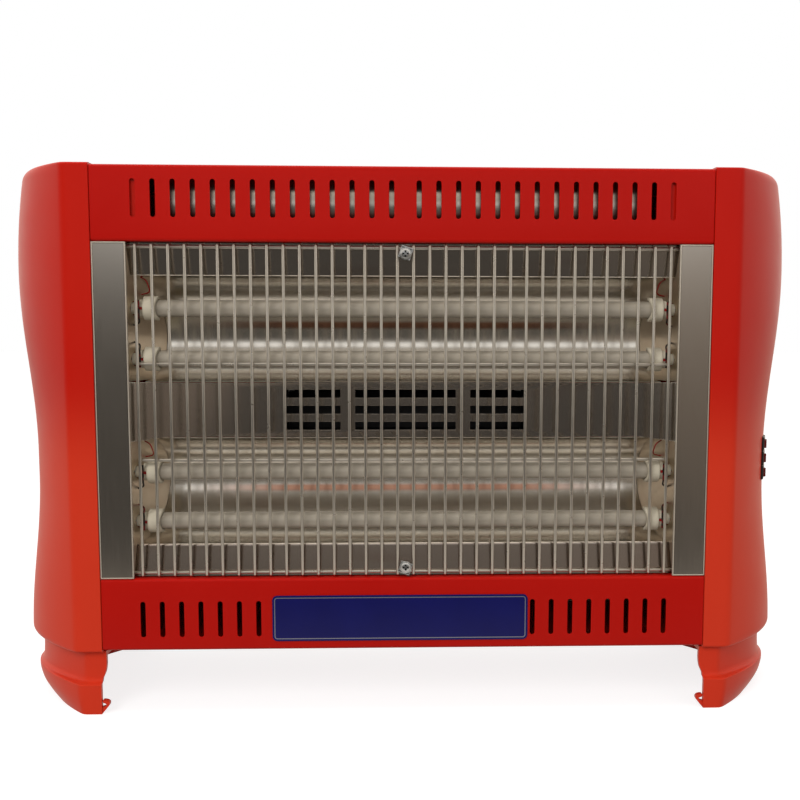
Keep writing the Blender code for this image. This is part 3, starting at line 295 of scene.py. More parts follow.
shape = bmesh.new()
add_prism(shape, rectangle(-FLOOR_HALF, FLOOR_HALF, -FLOOR_HALF, FLOOR_HALF), -FLOOR_DEPTH, 0.0, "Z")
floor = new_object("floor", shape)
paper = Finish("paper", (0.36, 0.36, 0.36, 1.0), 0.9)
lift = paper.add("Emission", {}, {"Color": (1.0, 1.0, 1.0, 1.0), "Strength": FLOOR_LIFT})
paths = paper.add("LightPath").socket.node.outputs
floor_x, floor_y, _ = paper.axes(paper.place)
warm = floor_x.fade(0.25, 0.60)
dim = floor_y.fade(-0.50, -0.10) * FLOOR_NEAR_LEVEL + FLOOR_FRONT_LEVEL + warm * FLOOR_WARM_LEVEL
dim_colour = paper.mix(ROOM_COLOUR, WALL_COLOUR, warm)
seen_dim = paper.add("Emission", {}, {"Color": dim_colour, "Strength": dim})
lit = Flow(paper, paper.shader.outputs[0])
lifted = paper.add("AddShader", {}, {0: lit, 1: lift})
by_camera = paper.add("MixShader", {}, {0: Flow(paper, paths["Is Camera Ray"]), 1: lit, 2: lifted})
by_gloss = paper.add("MixShader", {}, {0: Flow(paper, paths["Is Glossy Ray"]), 1: by_camera, 2: seen_dim})
paper.join(paper.tree.nodes["Material Output"], {"Surface": by_gloss})
floor.data.materials.append(paper.material)

# Top and bottom covers. Each is one folded steel sheet, painted red, with two groups of slots punched in
# its front band. The sheet's edge beside the window turns inwards.


def srgb(red, green, blue):
    """A colour as a screen shows it, 0 to 255, turned into the linear colour that renders like it."""
    linear = []
    for value in (red, green, blue):
        value /= 255
        linear.append(value / 12.92 if value <= 0.04045 else ((value + 0.055) / 1.055) ** 2.4)
    return (*linear, 1.0)


def behind(distance):
    """The Y of a plane that lies this far behind the side caps' front faces."""
    return FRONT_Y + distance


def rounded_path(path, radius, steps=6):
    """An open path with each inner corner replaced by an arc of the given radius."""
    made = [Vector(path[0])]
    for before, corner, after in zip(path, path[1:], path[2:]):
        corner = Vector(corner)
        first = (Vector(before) - corner).normalized()
        last = (Vector(after) - corner).normalized()
        half = first.angle(last) / 2
        centre = corner + (first + last).normalized() * radius / math.sin(half)
        start = corner + first * radius / math.tan(half) - centre
        end = corner + last * radius / math.tan(half) - centre
        turn = start.angle(end)
        for i in range(steps + 1):
            share = i / steps
            mixed = start * math.sin((1 - share) * turn) + end * math.sin(share * turn)
            made.append(centre + mixed / math.sin(turn))
    made.append(Vector(path[-1]))
    return made


def sheet_outline(path, thickness):
    """The closed outline of a folded sheet that lies to the left of its path."""
    points = [Vector(p) for p in path]
    runs = [(b - a).normalized() for a, b in zip(points, points[1:])]
    left = [Vector((-run.y, run.x)) for run in runs]
    offset = [points[0] + left[0] * thickness]
    for point, a, b in zip(points[1:-1], left, left[1:]):
        mitre = (a + b).normalized()
        offset.append(point + mitre * thickness / mitre.dot(a))
    offset.append(points[-1] + left[-1] * thickness)
    return [tuple(p) for p in points] + [tuple(p) for p in reversed(offset)]


def combine(target, shape, operation="DIFFERENCE", sharp=30):
    """Cuts a bmesh out of an object, or joins it on."""
    other = new_object("tool", shape)
    modifier = target.modifiers.new("combine", "BOOLEAN")
    modifier.operation = operation
    modifier.solver = "EXACT"
    modifier.object = other
    graph = bpy.context.evaluated_depsgraph_get()
    made = bpy.data.meshes.new_from_object(target.evaluated_get(graph))
    target.modifiers.remove(modifier)
    target.data = made
    bpy.data.objects.remove(other)
    made.shade_smooth()
    made.set_sharp_from_angle(angle=math.radians(sharp))


def bevelled(made, width, segments=2, angle=40):
    """Rounds an object's sharp edges so that they catch the light, and keeps its flat faces flat."""
    edges = made.modifiers.new("edges", "BEVEL")
    edges.width = width
    edges.segments = segments
    edges.limit_method = "ANGLE"
    edges.angle_limit = math.radians(angle)
    edges.harden_normals = True
    return made


def fit_piece(made, finish, slot, *replaced, body="case"):
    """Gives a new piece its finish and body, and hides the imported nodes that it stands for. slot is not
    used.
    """
    made.data.materials.clear()
    made.data.materials.append(finish.material)
    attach(made, body)
    if replaced:
        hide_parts(*replaced)
    return made


def slot_outline(a, b, length, width, steps=8):
    """An upright slot with half-round ends, centred on (a, b)."""
    radius = width / 2
    reach = length / 2 - radius
    upper = [math.pi * i / steps for i in range(steps + 1)]
    points = [(a + radius * math.cos(t), b + reach + radius * math.sin(t)) for t in upper]
    return points + [(2 * a - x, 2 * b - y) for x, y in points]


SEAM_X = 0.210
CASE_BOTTOM = 0.045
CASE_TOP = 0.3764
BAND_HEIGHT = 0.0506
WINDOW_LOW = CASE_BOTTOM + BAND_HEIGHT
WINDOW_HIGH = CASE_TOP - BAND_HEIGHT
WINDOW_MID = (WINDOW_LOW + WINDOW_HIGH) / 2
GAP = 0.0003
SHEET = 0.0010
PANEL_Y = behind(0.0010)
REAR_Y = -PANEL_Y
COVER_X = SEAM_X - GAP
FOLD_RADIUS = 0.0022
LIP_DEPTH = 0.0080
REAR_BAND = 0.030
SLOT_PITCH = 0.01325
SLOTS_PER_GROUP = 14
SLOT_FIRST_X = 0.0092
SLOT_LENGTH = 0.0252
SLOT_WIDTH = 0.0034
SLOT_FROM_EDGE = 0.0220
PUNCH_START = -0.002
PUNCH_END = 0.003
SHEET_EDGE_ROUND = 0.00022

red_paint = Finish("red_paint", srgb(186, 14, 4), 0.36, 0.0, {"Specular IOR Level": 0.17})
shade = red_paint.noise(0.09, detail=3.0)
red_paint.set("Base Color", red_paint.mix(srgb(184, 10, 2), srgb(192, 18, 5), shade))
red_paint.set("Roughness", red_paint.noise(0.03, detail=2.0, seed=3.0) * 0.10 + 0.30)
red_paint.bump(red_paint.noise(0.045, detail=1.0, seed=5.0), 0.00035)
red_paint.bump(red_paint.noise(0.0016, detail=2.0, seed=9.0), 0.00001)

for name, edge, window, flip in (
    ("top_cover", CASE_TOP, WINDOW_HIGH, 1),
    ("bottom_cover", CASE_BOTTOM, WINDOW_LOW, -1),
):
    path = [(PANEL_Y + LIP_DEPTH, window), (PANEL_Y, window), (PANEL_Y, edge)]
    path += [(REAR_Y, edge), (REAR_Y, edge - flip * REAR_BAND)]
    path = rounded_path(path, FOLD_RADIUS)
    outline = sheet_outline(path[::-1] if flip > 0 else path, SHEET)
    shape = bmesh.new()
    add_prism(shape, outline, -COVER_X, COVER_X, "X")
    cover = new_object(f"{name}_sheet", shape)
    slots = bmesh.new()
    for side in (-1, 1):
        for i in range(SLOTS_PER_GROUP):
            x = side * (SLOT_FIRST_X + i * SLOT_PITCH)
            outline = slot_outline(x, edge - flip * SLOT_FROM_EDGE, SLOT_LENGTH, SLOT_WIDTH)
            add_prism(slots, outline, behind(PUNCH_START), behind(PUNCH_END), "Y")
    combine(cover, slots)
    bevelled(cover, SHEET_EDGE_ROUND)
    fit_piece(cover, red_paint, "red_painted_steel", name)

# Back panel. A flat painted sheet with rows of air slots, slipped in behind the covers' rear flanges and
# screwed to the collars of the side caps.

PANEL_EDGE_ROUND = 0.0002
DOUBLES_WITHIN = 0.000002
FLAT_WITHIN = math.radians(0.5)


def cleaned_node(name):
    """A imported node's solid as a bmesh of whole faces."""
    shape = bmesh.new()
    shape.from_mesh(nodes[name].data)
    bmesh.ops.remove_doubles(shape, verts=shape.verts, dist=DOUBLES_WITHIN)
    bmesh.ops.dissolve_limit(shape, angle_limit=FLAT_WITHIN, verts=shape.verts, edges=shape.edges)
    return shape


rear = bevelled(new_object("rear_panel", cleaned_node("back_panel")), PANEL_EDGE_ROUND)
fit_piece(rear, red_paint, "red_painted_steel", "back_panel")

# Side caps. Each is a red plastic moulding with a flat facet in front, a soft crease, and two bulges with a
# waist between them. A collar inboard runs behind the covers, cut back behind the outermost slots. The right
# cap has a seat and openings for the switches.

CAP_WALL = 0.0038
CAP_PROUD = 0.0011
CAP_HALF_WIDTH = 0.2810
CAP_TOP_TUCK = 0.0065
CAP_WAIST = CAP_HALF_WIDTH - 0.0105
CAP_LOW_TUCK = 0.0015
CAP_TOP = CASE_TOP + CAP_PROUD
CAP_BOTTOM = CASE_BOTTOM - CAP_PROUD
CAP_WAIST_LOW_Z = CASE_BOTTOM + 0.1150
CAP_WAIST_HIGH_Z = CAP_WAIST_LOW_Z + 0.0180
CAP_BULGE_HIGH_Z = CASE_TOP - 0.0704
CREASE_X = SEAM_X + 0.0180
CREASE_SOFTNESS = 0.0030
SEAM_ROUND = 0.0007
CAP_TOP_ROUND = 0.0070
CAP_BOTTOM_ROUND = 0.0050
FACE_ROUND = 0.0016
SKIN_INSET = 0.00005
HOLLOW_REACH = 0.01
COLLAR_X = SEAM_X - 0.0320
COLLAR_GRIP = 0.0060
COLLAR_LAP = 0.0030
COLLAR_WALL = 0.0022
COLLAR_ROUND = 0.0032
OVERCUT = 0.001
POCKET_X = 0.1860
POCKET_HALF_HEIGHT = 0.0142
POCKET_DEPTH = 0.0014

red_plastic = Finish("red_plastic", srgb(194, 20, 8), 0.33, 0.0, {"Specular IOR Level": 0.16})
_, _, height = red_plastic.axes(red_plastic.place)
# Painted sheen: below about 0.24 m up, the base colour turns paler and more orange, standing in for the sheen
# on the lower parts. A soft noise adds random changes of tone.
painted_sheen_and_tone = height.fade(0.24, 0.16) * 0.8 + red_plastic.noise(0.12, detail=2.0) * 0.3
red_plastic.set("Base Color", red_plastic.mix(srgb(192, 9, 0), srgb(220, 58, 32), painted_sheen_and_tone))
red_plastic.set("Roughness", red_plastic.noise(0.02, detail=3.0, seed=2.0) * 0.10 + 0.30)
red_plastic.bump(red_plastic.noise(0.0011, detail=2.0, seed=7.0), 0.000012)
red_plastic.bump(red_plastic.noise(0.05, detail=1.0, seed=4.0), 0.00025)


def flattened(made):
    """Keeps wide flat faces flat beside small rounded edges."""
    flats = made.modifiers.new("flats", "WEIGHTED_NORMAL")
    flats.keep_sharp = True
    return made


def ease(low, high, share):
    """A height between two heights, level at both ends."""
    return low + (high - low) * (1 - math.cos(math.pi * share)) / 2


def cap_half_width(z):
    """The side cap's greatest half width at a height: two bulges with a waist between them."""
    if z <= CAP_WAIST_LOW_Z:
        low = CAP_HALF_WIDTH - CAP_LOW_TUCK
        return ease(low, CAP_WAIST, (z - CAP_BOTTOM) / (CAP_WAIST_LOW_Z - CAP_BOTTOM))
    if z <= CAP_WAIST_HIGH_Z:
        return CAP_WAIST
    if z <= CAP_BULGE_HIGH_Z:
        share = (z - CAP_WAIST_HIGH_Z) / (CAP_BULGE_HIGH_Z - CAP_WAIST_HIGH_Z)
        return ease(CAP_WAIST, CAP_HALF_WIDTH, share)
    share = (z - CAP_BULGE_HIGH_Z) / (CAP_TOP - CAP_BULGE_HIGH_Z)
    return CAP_HALF_WIDTH - CAP_TOP_TUCK * share**2


def side_curve(crease_x, half_width, steps):
    """A cap's side in plan, from its crease round to mid-depth, as each X and its share of the front's Y."""
    shares = [i / steps for i in range(steps + 1)]
    return [(crease_x + (half_width - crease_x) * (1 - (1 - t) ** 2), 1 - t) for t in shares]


def softened(points, count, softness):
    """Points spaced evenly along a line, with its corners softened over this distance to each side."""
    lengths = [0.0]
    for a, b in zip(points, points[1:]):
        lengths.append(lengths[-1] + (b - a).length)
    total = lengths[-1]
    fine = 8 * count
    spread = []
    k = 0
    for i in range(fine + 1):
        along = total * i / fine
        while k < len(lengths) - 2 and lengths[k + 1] < along:
            k += 1
        share = (along - lengths[k]) / (lengths[k + 1] - lengths[k])
        spread.append(points[k].lerp(points[k + 1], share))
    reach = max(1, round(fine * softness / total))
    made = []
    for i in range(0, fine + 1, 8):
        window = min(reach, i, fine - i)
        near = spread[i - window : i + window + 1]
        made.append(sum(near, Vector((0.0, 0.0))) / len(near))
    return made


def side_outline(z, inner_x, half_width, front_inset, facet_inset=0.0, count=72, seam_round=0.0):
    """The plan outline of a cap or foot on the right, from its front inner corner round to its back one."""
    front_y = FRONT_Y + front_inset
    curve = [Vector((x, front_y * share)) for x, share in side_curve(CREASE_X - facet_inset, half_width, 60)]
    front = softened([Vector((inner_x, front_y)), *curve], count, CREASE_SOFTNESS)
    if seam_round > 0:
        corner = []
        for i in range(4):
            turn = math.pi / 2 * i / 4
            away = Vector((1 - math.cos(turn), 1 - math.sin(turn)))
            corner.append(Vector((inner_x, front_y)) + away * seam_round)
        front = [*corner, *[p for p in front if p.x >= inner_x + seam_round]]
    outline = [(p.x, p.y, z) for p in front]
    return outline + [(x, -y, z) for x, y, _ in reversed(outline[:-1])]


def mirrored(rings, side):
    """The rings as they are on the right, or mirrored onto the left."""
    if side > 0:
        return rings
    return [[(-x, y, z) for x, y, z in reversed(ring)] for ring in rings]


def edge_inset(depth, radius):
    """How far a rounded edge stands in, this far below its face."""
    if depth >= radius:
        return 0.0
    return radius - math.sqrt(radius**2 - (radius - depth) ** 2)


def cap_skin():
    """The rings of a side cap's outer skin, close together where its edges are rounded."""
    depths = [CAP_TOP_ROUND * (1 - math.cos(math.pi / 2 * i / 12)) for i in range(13)]
    low, high = CAP_BOTTOM + SKIN_INSET, CAP_TOP - SKIN_INSET
    body_low, body_high = low + depths[-1], high - depths[-1]
    levels = [low + d for d in depths]
    levels += [body_low + (body_high - body_low) * i / 56 for i in range(1, 56)]
    levels += [high - d for d in reversed(depths)]
    rings = []
    for z in levels:
        above, under = z - low, high - z
        inset = max(edge_inset(above, CAP_BOTTOM_ROUND), edge_inset(under, CAP_TOP_ROUND))
        face = max(edge_inset(above, FACE_ROUND), edge_inset(under, FACE_ROUND))
        half = cap_half_width(z) - inset - SKIN_INSET
        rings.append(side_outline(z, SEAM_X, half, face + SKIN_INSET, seam_round=SEAM_ROUND))
    return rings


def cap_hollow():
    """The rings of the hollow inside a side cap, which opens inboard."""
    low, high = CAP_BOTTOM + CAP_WALL, CAP_TOP - CAP_WALL
    rings = []
    for i in range(9):
        z = low + (high - low) * i / 8
        half = cap_half_width(z) - CAP_WALL
        rings.append(side_outline(z, SEAM_X - HOLLOW_REACH, half, CAP_WALL, 0.25 * CAP_WALL, 24))
    return rings


SWITCH_Z = CASE_BOTTOM + 0.1278
SWITCH_PITCH = 0.01065
SWITCH_BACK = 0.0520
BEZEL_LENGTH = 0.0175
BEZEL_WIDTH = 0.0102


def switch_frames():
    """The place and turn of each switch: on the cap's side, square to its skin there."""
    curve = [Vector((x, FRONT_Y * share)) for x, share in side_curve(CREASE_X, cap_half_width(SWITCH_Z), 200)]
    near = min(range(200), key=lambda i: abs(curve[i].y - behind(SWITCH_BACK)))
    run = curve[near + 1] - curve[near - 1]
    turn = math.atan2(-run.x, run.y)
    for i in (1, 0, -1):
        spot = Vector((*curve[near], SWITCH_Z + i * SWITCH_PITCH))
        yield Matrix.Translation(spot) @ Matrix.Rotation(turn, 4, "Z")


def placed(shape, matrix):
    """Moves a bmesh to its place."""
    bmesh.ops.transform(shape, matrix=matrix, verts=shape.verts)
    return shape


SEAT_DEPTH = 0.0008
SEAT_CUT = 0.006
BODY_HALF_LENGTH = 0.0077
BODY_HALF_WIDTH = 0.0045
OPENING_DEPTH = 0.008
OPENING_CUT = 0.004

switches = list(switch_frames())
for side_name, side in (("left", -1), ("right", 1)):
    shape = bmesh.new()
    add_loft(shape, mirrored(cap_skin(), side))
    cap = new_object(f"{side_name}_cap_moulding", shape)
    hollow = bmesh.new()
    add_loft(hollow, mirrored(cap_hollow(), side))
    combine(cap, hollow)
    front_y, back_y = PANEL_Y + SHEET + GAP, REAR_Y - 2 * SHEET - 2 * GAP
    floor_z, roof_z = CASE_BOTTOM + SHEET + GAP, CASE_TOP - SHEET - GAP
    path = [(front_y, WINDOW_HIGH + COLLAR_LAP), (front_y, roof_z), (back_y, roof_z), (back_y, floor_z)]
    path += [(front_y, floor_z), (front_y, WINDOW_LOW - COLLAR_LAP)]
    outline = sheet_outline(rounded_path(path, COLLAR_ROUND)[::-1], COLLAR_WALL)
    collar = bmesh.new()
    add_prism(collar, outline, *sorted((side * COLLAR_X, side * (SEAM_X + COLLAR_GRIP))), "X")
    combine(cap, collar, "UNION")
    pockets = bmesh.new()
    slot_rows = ((CASE_TOP - SLOT_FROM_EDGE, POCKET_DEPTH), (CASE_BOTTOM + SLOT_FROM_EDGE, 2 * COLLAR_WALL))
    for z, depth in slot_rows:
        pocket = rectangle(COLLAR_X - OVERCUT, POCKET_X, z - POCKET_HALF_HEIGHT, z + POCKET_HALF_HEIGHT)
        add_prism(pockets, [(side * x, b) for x, b in pocket], PANEL_Y, front_y + depth, "Y")
    combine(cap, pockets)
    if side > 0:
        seat = bmesh.new()
        half_y, half_z = BEZEL_LENGTH / 2 + 2 * GAP, SWITCH_PITCH + BEZEL_WIDTH / 2 + 2 * GAP
        add_prism(seat, rectangle(-half_y, half_y, -half_z, half_z), -SEAT_DEPTH, SEAT_CUT, "X")
        combine(cap, placed(seat, switches[1]))
        for switch in switches:
            opening = bmesh.new()
            half_y, half_z = BODY_HALF_LENGTH + GAP, BODY_HALF_WIDTH + GAP
            add_prism(opening, rectangle(-half_y, half_y, -half_z, half_z), -OPENING_DEPTH, OPENING_CUT, "X")
            combine(cap, placed(opening, switch))
    flattened(cap)
    fit_piece(cap, red_plastic, "red_plastic", f"{side_name}_side_cap")

# Feet. Red plastic mouldings, hollow and open inboard: a tucked sole under a lip, then a cove and a neck up
# to the cap. Each is screwed on through two bosses, and has a small curl at its inner front corner.

LIP_HEIGHT = 0.0213
LIP_HALF_WIDTH = CAP_HALF_WIDTH - 0.0058
SOLE_TUCK = 0.0118
NECK_TUCK = 0.0032
NECK_INSET = 0.0050
LIP_CREASE = 0.0022
SOLE_CREASE = 0.0041
NECK_LAP = 0.0016
FOOT_WALL = 0.0035
FOOT_INNER_X = SEAM_X + 0.0012
NECK_INNER_X = SEAM_X - NECK_LAP
NECK_TOP = CAP_BOTTOM - GAP
BOSS_X = SEAM_X + 0.0260
BOSS_Y = 0.042
BOSS_RADIUS = 0.0045
BOSS_LOW = 0.0120
BORE_RADIUS = 0.4 * BOSS_RADIUS
BORE_DEPTH = 0.014
CURL_SIZE = 0.0064
CURL_FRONT = 0.0012
CURL_BACK = 0.0050
CURL_OUTLINE = (
    (0.23, 0.09),
    (-0.06, 0.12),
    (-0.50, 0.62),
    (-0.80, 1.06),
    (-0.66, 1.42),
    (-0.10, 1.52),
    (-0.08, 1.24),
    (-0.40, 1.10),
    (-0.36, 0.86),
    (0.23, 0.60),
)

# Each level's height, how far its side and its front stand in, and where it ends inboard.
neck_rise = NECK_TOP - LIP_HEIGHT
foot_levels = (
    (0.0, SOLE_TUCK, 0.0, FOOT_INNER_X),
    (LIP_HEIGHT * 0.22, SOLE_TUCK * 0.58, 0.0, FOOT_INNER_X),
    (LIP_HEIGHT * 0.50, SOLE_TUCK * 0.20, 0.0, FOOT_INNER_X),
    (LIP_HEIGHT * 0.80, SOLE_TUCK * 0.02, 0.0, FOOT_INNER_X),
    (LIP_HEIGHT * 0.965, 0.0, 0.0, FOOT_INNER_X),
    (LIP_HEIGHT, NECK_TUCK * 0.10, NECK_INSET * 0.14, FOOT_INNER_X),
    (LIP_HEIGHT + neck_rise * 0.03, NECK_TUCK * 0.40, NECK_INSET * 0.60, FOOT_INNER_X),
    (LIP_HEIGHT + neck_rise * 0.12, NECK_TUCK * 0.80, NECK_INSET * 0.94, FOOT_INNER_X),
    (LIP_HEIGHT + neck_rise * 0.34, NECK_TUCK * 0.95, NECK_INSET, NECK_INNER_X + NECK_LAP / 2),
    (LIP_HEIGHT + neck_rise * 0.62, NECK_TUCK, NECK_INSET, NECK_INNER_X),
    (NECK_TOP, NECK_TUCK, NECK_INSET * 0.96, NECK_INNER_X),
)


def circle(a, b, radius, sides):
    angles = [2 * math.pi * i / sides for i in range(sides)]
    return [(a + radius * math.cos(t), b + radius * math.sin(t)) for t in angles]


def curve_through(before, start, end, beyond, share):
    """A point, or a number, on the smooth curve from start to end, with its neighbours on either side."""
    square = 2 * before - 5 * start + 4 * end - beyond
    cube = 3 * start - before - 3 * end + beyond
    return 0.5 * (2 * start + (end - before) * share + (square * share**2 + cube * share**3))


def smooth_line(points, steps=6, closed=False):
    """A curved line through the given points, open or closed."""
    points = [Vector(p) for p in points]
    if closed:
        padded = [points[-1], *points, points[0], points[1]]
    else:
        padded = [2 * points[0] - points[1], *points, 2 * points[-1] - points[-2]]
    made = []
    for near in zip(padded, padded[1:], padded[2:], padded[3:]):
        made += [curve_through(*near, i / steps) for i in range(steps)]
    return made if closed else [*made, points[-1]]


def foot_rings(levels, wall, count):
    """The rings of a foot's skin. A wall above 0 gives the hollow, which opens at the floor and inboard."""
    rings = []
    for z, tuck, front, inner in levels:
        if wall > 0:
            inner = NECK_INNER_X - 2 * wall
            z = min(z, NECK_TOP - wall) if z > 0 else -wall
        tuck, front = max(tuck, 0.0), max(front, 0.0)
        crease = LIP_CREASE + 0.6 * front + (SOLE_CREASE - LIP_CREASE) * tuck / SOLE_TUCK
        half = LIP_HALF_WIDTH - tuck - wall
        rings.append(side_outline(z, inner, half, front + wall, crease + 0.4 * wall, count))
    return rings


def smooth_levels(levels, steps):
    """Rows of numbers with smooth rows added between them, never beyond the rows on either side."""
    made = []
    for row, after in zip(levels, levels[1:]):
        before = levels[max(0, levels.index(row) - 1)]
        beyond = levels[min(len(levels) - 1, levels.index(after) + 1)]
        for i in range(steps):
            mixed = []
            for near in zip(before, row, after, beyond):
                low, high = sorted(near[1:3])
                mixed.append(min(max(curve_through(*near, i / steps), low), high))
            made.append(mixed)
    return [*made, list(levels[-1])]


for side_name, side in (("left", -1), ("right", 1)):
    shape = bmesh.new()
    add_loft(shape, mirrored(foot_rings(smooth_levels(foot_levels, 5), 0.0, 64), side))
    foot = new_object(f"{side_name}_foot_moulding", shape)
    hollow = bmesh.new()
    add_loft(hollow, mirrored(foot_rings(foot_levels, FOOT_WALL, 20), side))
    combine(foot, hollow)
    bosses = bmesh.new()
    bores = bmesh.new()
    for y in (-BOSS_Y, BOSS_Y):
        boss = circle(side * BOSS_X, y, BOSS_RADIUS, 24)
        add_prism(bosses, boss, BOSS_LOW, NECK_TOP - FOOT_WALL / 2, "Z")
        bore = circle(side * BOSS_X, y, BORE_RADIUS, 16)
        add_prism(bores, bore, BOSS_LOW - OVERCUT, BOSS_LOW + BORE_DEPTH, "Z")
    combine(foot, bosses, "UNION")
    combine(foot, bores)
    outline = [(side * (FOOT_INNER_X + a * CURL_SIZE), b * CURL_SIZE) for a, b in CURL_OUTLINE]
    curl = bmesh.new()
    add_prism(curl, smooth_line(outline, 4, closed=True), behind(CURL_FRONT), behind(CURL_BACK), "Y")
    combine(foot, curl, "UNION")
    flattened(foot)
    fit_piece(foot, red_plastic, "red_plastic", f"{side_name}_foot")

# Trim strips. Stainless plates beside the window with a narrow rolled rim, and a deep return outboard that
# hooks in behind the seam. Their faces are brushed upwards.

TRIM_INNER_X = SEAM_X - 0.0230
TRIM_RETURN = 0.0070
TRIM_HEM = 0.0018
TRIM_SHEET = 0.0008
RIM_RADIUS = 0.00045
RIM_BACK = 0.4 * RIM_RADIUS

stainless = Finish("stainless", srgb(182, 180, 177), 0.22, 1.0)
grain = stainless.noise(0.0009, stretch=(1, 1, 24), detail=3.0)
stainless.set("Roughness", grain * 0.10 + 0.17)
stainless.bump(grain, 0.000006)
strip_x, _, strip_z = stainless.axes(stainless.place)
strip_mid_x, strip_half_x = (TRIM_INNER_X + COVER_X) / 2, (COVER_X - TRIM_INNER_X) / 2
strip_half_z = (WINDOW_HIGH - WINDOW_LOW) / 2 - GAP
outward = (abs(abs(strip_x) - strip_mid_x) - strip_half_x).largest(abs(strip_z - WINDOW_MID) - strip_half_z)
# Painted highlight: the rolled rim gets a paler, cream, half-metallic colour so that the lamps light it up.
# Painted shade: a narrow band just inside the rim is mixed towards a dark brown.
rim = outward.fade(-2.1 * RIM_RADIUS, -1.6 * RIM_RADIUS)
painted_groove_shade = outward.fade(-3.4 * RIM_RADIUS, -2.6 * RIM_RADIUS) - rim
painted_rim_highlight = stainless.mix(srgb(202, 196, 188), srgb(214, 204, 188), rim)
stainless.set("Base Color", stainless.mix(painted_rim_highlight, srgb(90, 80, 74), painted_groove_shade * 0.3))
stainless.set("Metallic", 1.0 - rim * 0.5)


def strip_ring(inset, y):
    """A rectangle of the strip's outline, moved in by an inset and back to a depth."""
    low_x, high_x = TRIM_INNER_X + inset, COVER_X - inset
    low_z, high_z = WINDOW_LOW + GAP + inset, WINDOW_HIGH - GAP - inset
    return [(low_x, y, low_z), (high_x, y, low_z), (high_x, y, high_z), (low_x, y, high_z)]


for side_name, side in (("left", -1), ("right", 1)):
    rings = [strip_ring(2 * RIM_RADIUS, PANEL_Y + TRIM_HEM), strip_ring(0.0, PANEL_Y + TRIM_HEM)]
    for i in range(9):
        turn = math.pi * i / 8
        inset = RIM_RADIUS * (1 - math.cos(turn))
        rings.append(strip_ring(inset, PANEL_Y + RIM_BACK - RIM_RADIUS * math.sin(turn)))
    rings.append(strip_ring(2.4 * RIM_RADIUS, PANEL_Y + RIM_BACK))
    shape = bmesh.new()
    add_loft(shape, mirrored(rings, side))
    hook = rectangle(COVER_X - TRIM_SHEET, COVER_X, PANEL_Y + RIM_RADIUS, PANEL_Y + TRIM_RETURN)
    add_prism(shape, [(side * x, y) for x, y in hook], WINDOW_LOW + GAP, WINDOW_HIGH - GAP, "Z")
    strip = new_object(f"{side_name}_strip_plate", shape, sharp=40)
    flattened(strip)
    fit_piece(strip, stainless, "stainless_trim", f"{side_name}_trim_strip")

# Reflectors, end plates and vent plate. Bright rolled aluminium sheet: a flange slants in from the window's
# edge, then the sheet curves round behind two tubes. Each trough carries a painted coppery reflection along
# its back, over faint random tarnish, and the flats between and beside the troughs are darkened with painted
# shade.

FOLD_BACK = 0.0120
TROUGH_BACK = 0.0480
VENT_BACK = 0.0240
FLANGE_START = 0.0086
FLANGE_INSET = 0.0005
MIRROR_SHEET = 0.0008
END_SLOPE = 0.45
END_X_AT_FOLD = TRIM_INNER_X - 0.0002
FOLD_SOFTNESS = 0.0009
TROUGH_STEPS = 56
VENT_EDGE_LIP = 0.0009
VENT_HALF_X = TRIM_INNER_X - 0.0220
VENT_BEND_X = VENT_HALF_X + 0.001
VENT_END_RISE = 0.0018
FOLD_OFFSET = WINDOW_HIGH - 0.0225 - WINDOW_MID
VENT_OFFSET = 0.0203
TROUGH_OFFSET = (FOLD_OFFSET + VENT_OFFSET) / 2
TROUGH_HEIGHT = FOLD_OFFSET - VENT_OFFSET
COPPER_BAND_OFFSET = 0.059
FOLD_BLEND = 0.001
UPPER_FLANGE_SHADE = 0.35
LOWER_FLANGE_SHADE = 0.62
VENT_SHADE = 0.42

mirror = Finish("mirror_sheet", srgb(220, 215, 206), 0.27, 1.0)
rolled = mirror.noise(0.004, stretch=(60, 1, 1), detail=3.0)
tarnish = mirror.noise(0.060, stretch=(2.4, 1, 0.4), detail=2.0, seed=6.0)
sideways, _, height = mirror.axes(mirror.place)
from_middle = height - WINDOW_MID
# Painted reflection: a coppery band runs along the back of each trough, towards the middle of the window.
painted_reflection_band = abs(abs(from_middle) - COPPER_BAND_OFFSET).fade(0.0040, 0.0010) * abs(sideways).fade(0.17, 0.08)
tarnish_and_painted_reflection = (tarnish.fade(0.55, 0.80) * 0.3).largest(painted_reflection_band * 0.9)
# Painted shade: the flanges and the vent flat are mixed towards a dark brown.
upper_flange = from_middle.fade(FOLD_OFFSET, FOLD_OFFSET + FOLD_BLEND) * UPPER_FLANGE_SHADE
lower_flange = from_middle.fade(-FOLD_OFFSET, -FOLD_OFFSET - FOLD_BLEND) * LOWER_FLANGE_SHADE
vent_flat = abs(from_middle).fade(VENT_OFFSET, VENT_OFFSET - FOLD_BLEND) * VENT_SHADE
tint = mirror.mix(srgb(240, 236, 228), srgb(176, 122, 94), tarnish_and_painted_reflection)
painted_flat_shade = upper_flange.largest(lower_flange).largest(vent_flat)
mirror.set("Base Color", mirror.mix(tint, srgb(104, 74, 60), painted_flat_shade))
mirror.set("Roughness", rolled * 0.04 + 0.16)
mirror.bump(mirror.noise(0.03, stretch=(4, 1, 1), detail=1.0, seed=2.0), 0.00003)

end_mirror = Finish("mirror_end", srgb(214, 208, 196), 0.34, 1.0)
shade = end_mirror.noise(0.02)
end_mirror.set("Base Color", end_mirror.mix(srgb(238, 230, 216), srgb(214, 196, 176), shade))
end_mirror.set("Roughness", end_mirror.noise(0.012, seed=3.0) * 0.10 + 0.30)
for row in ("upper", "lower"):
    end_mirror.on(f"{row}_end_plate_left", f"{row}_end_plate_right")

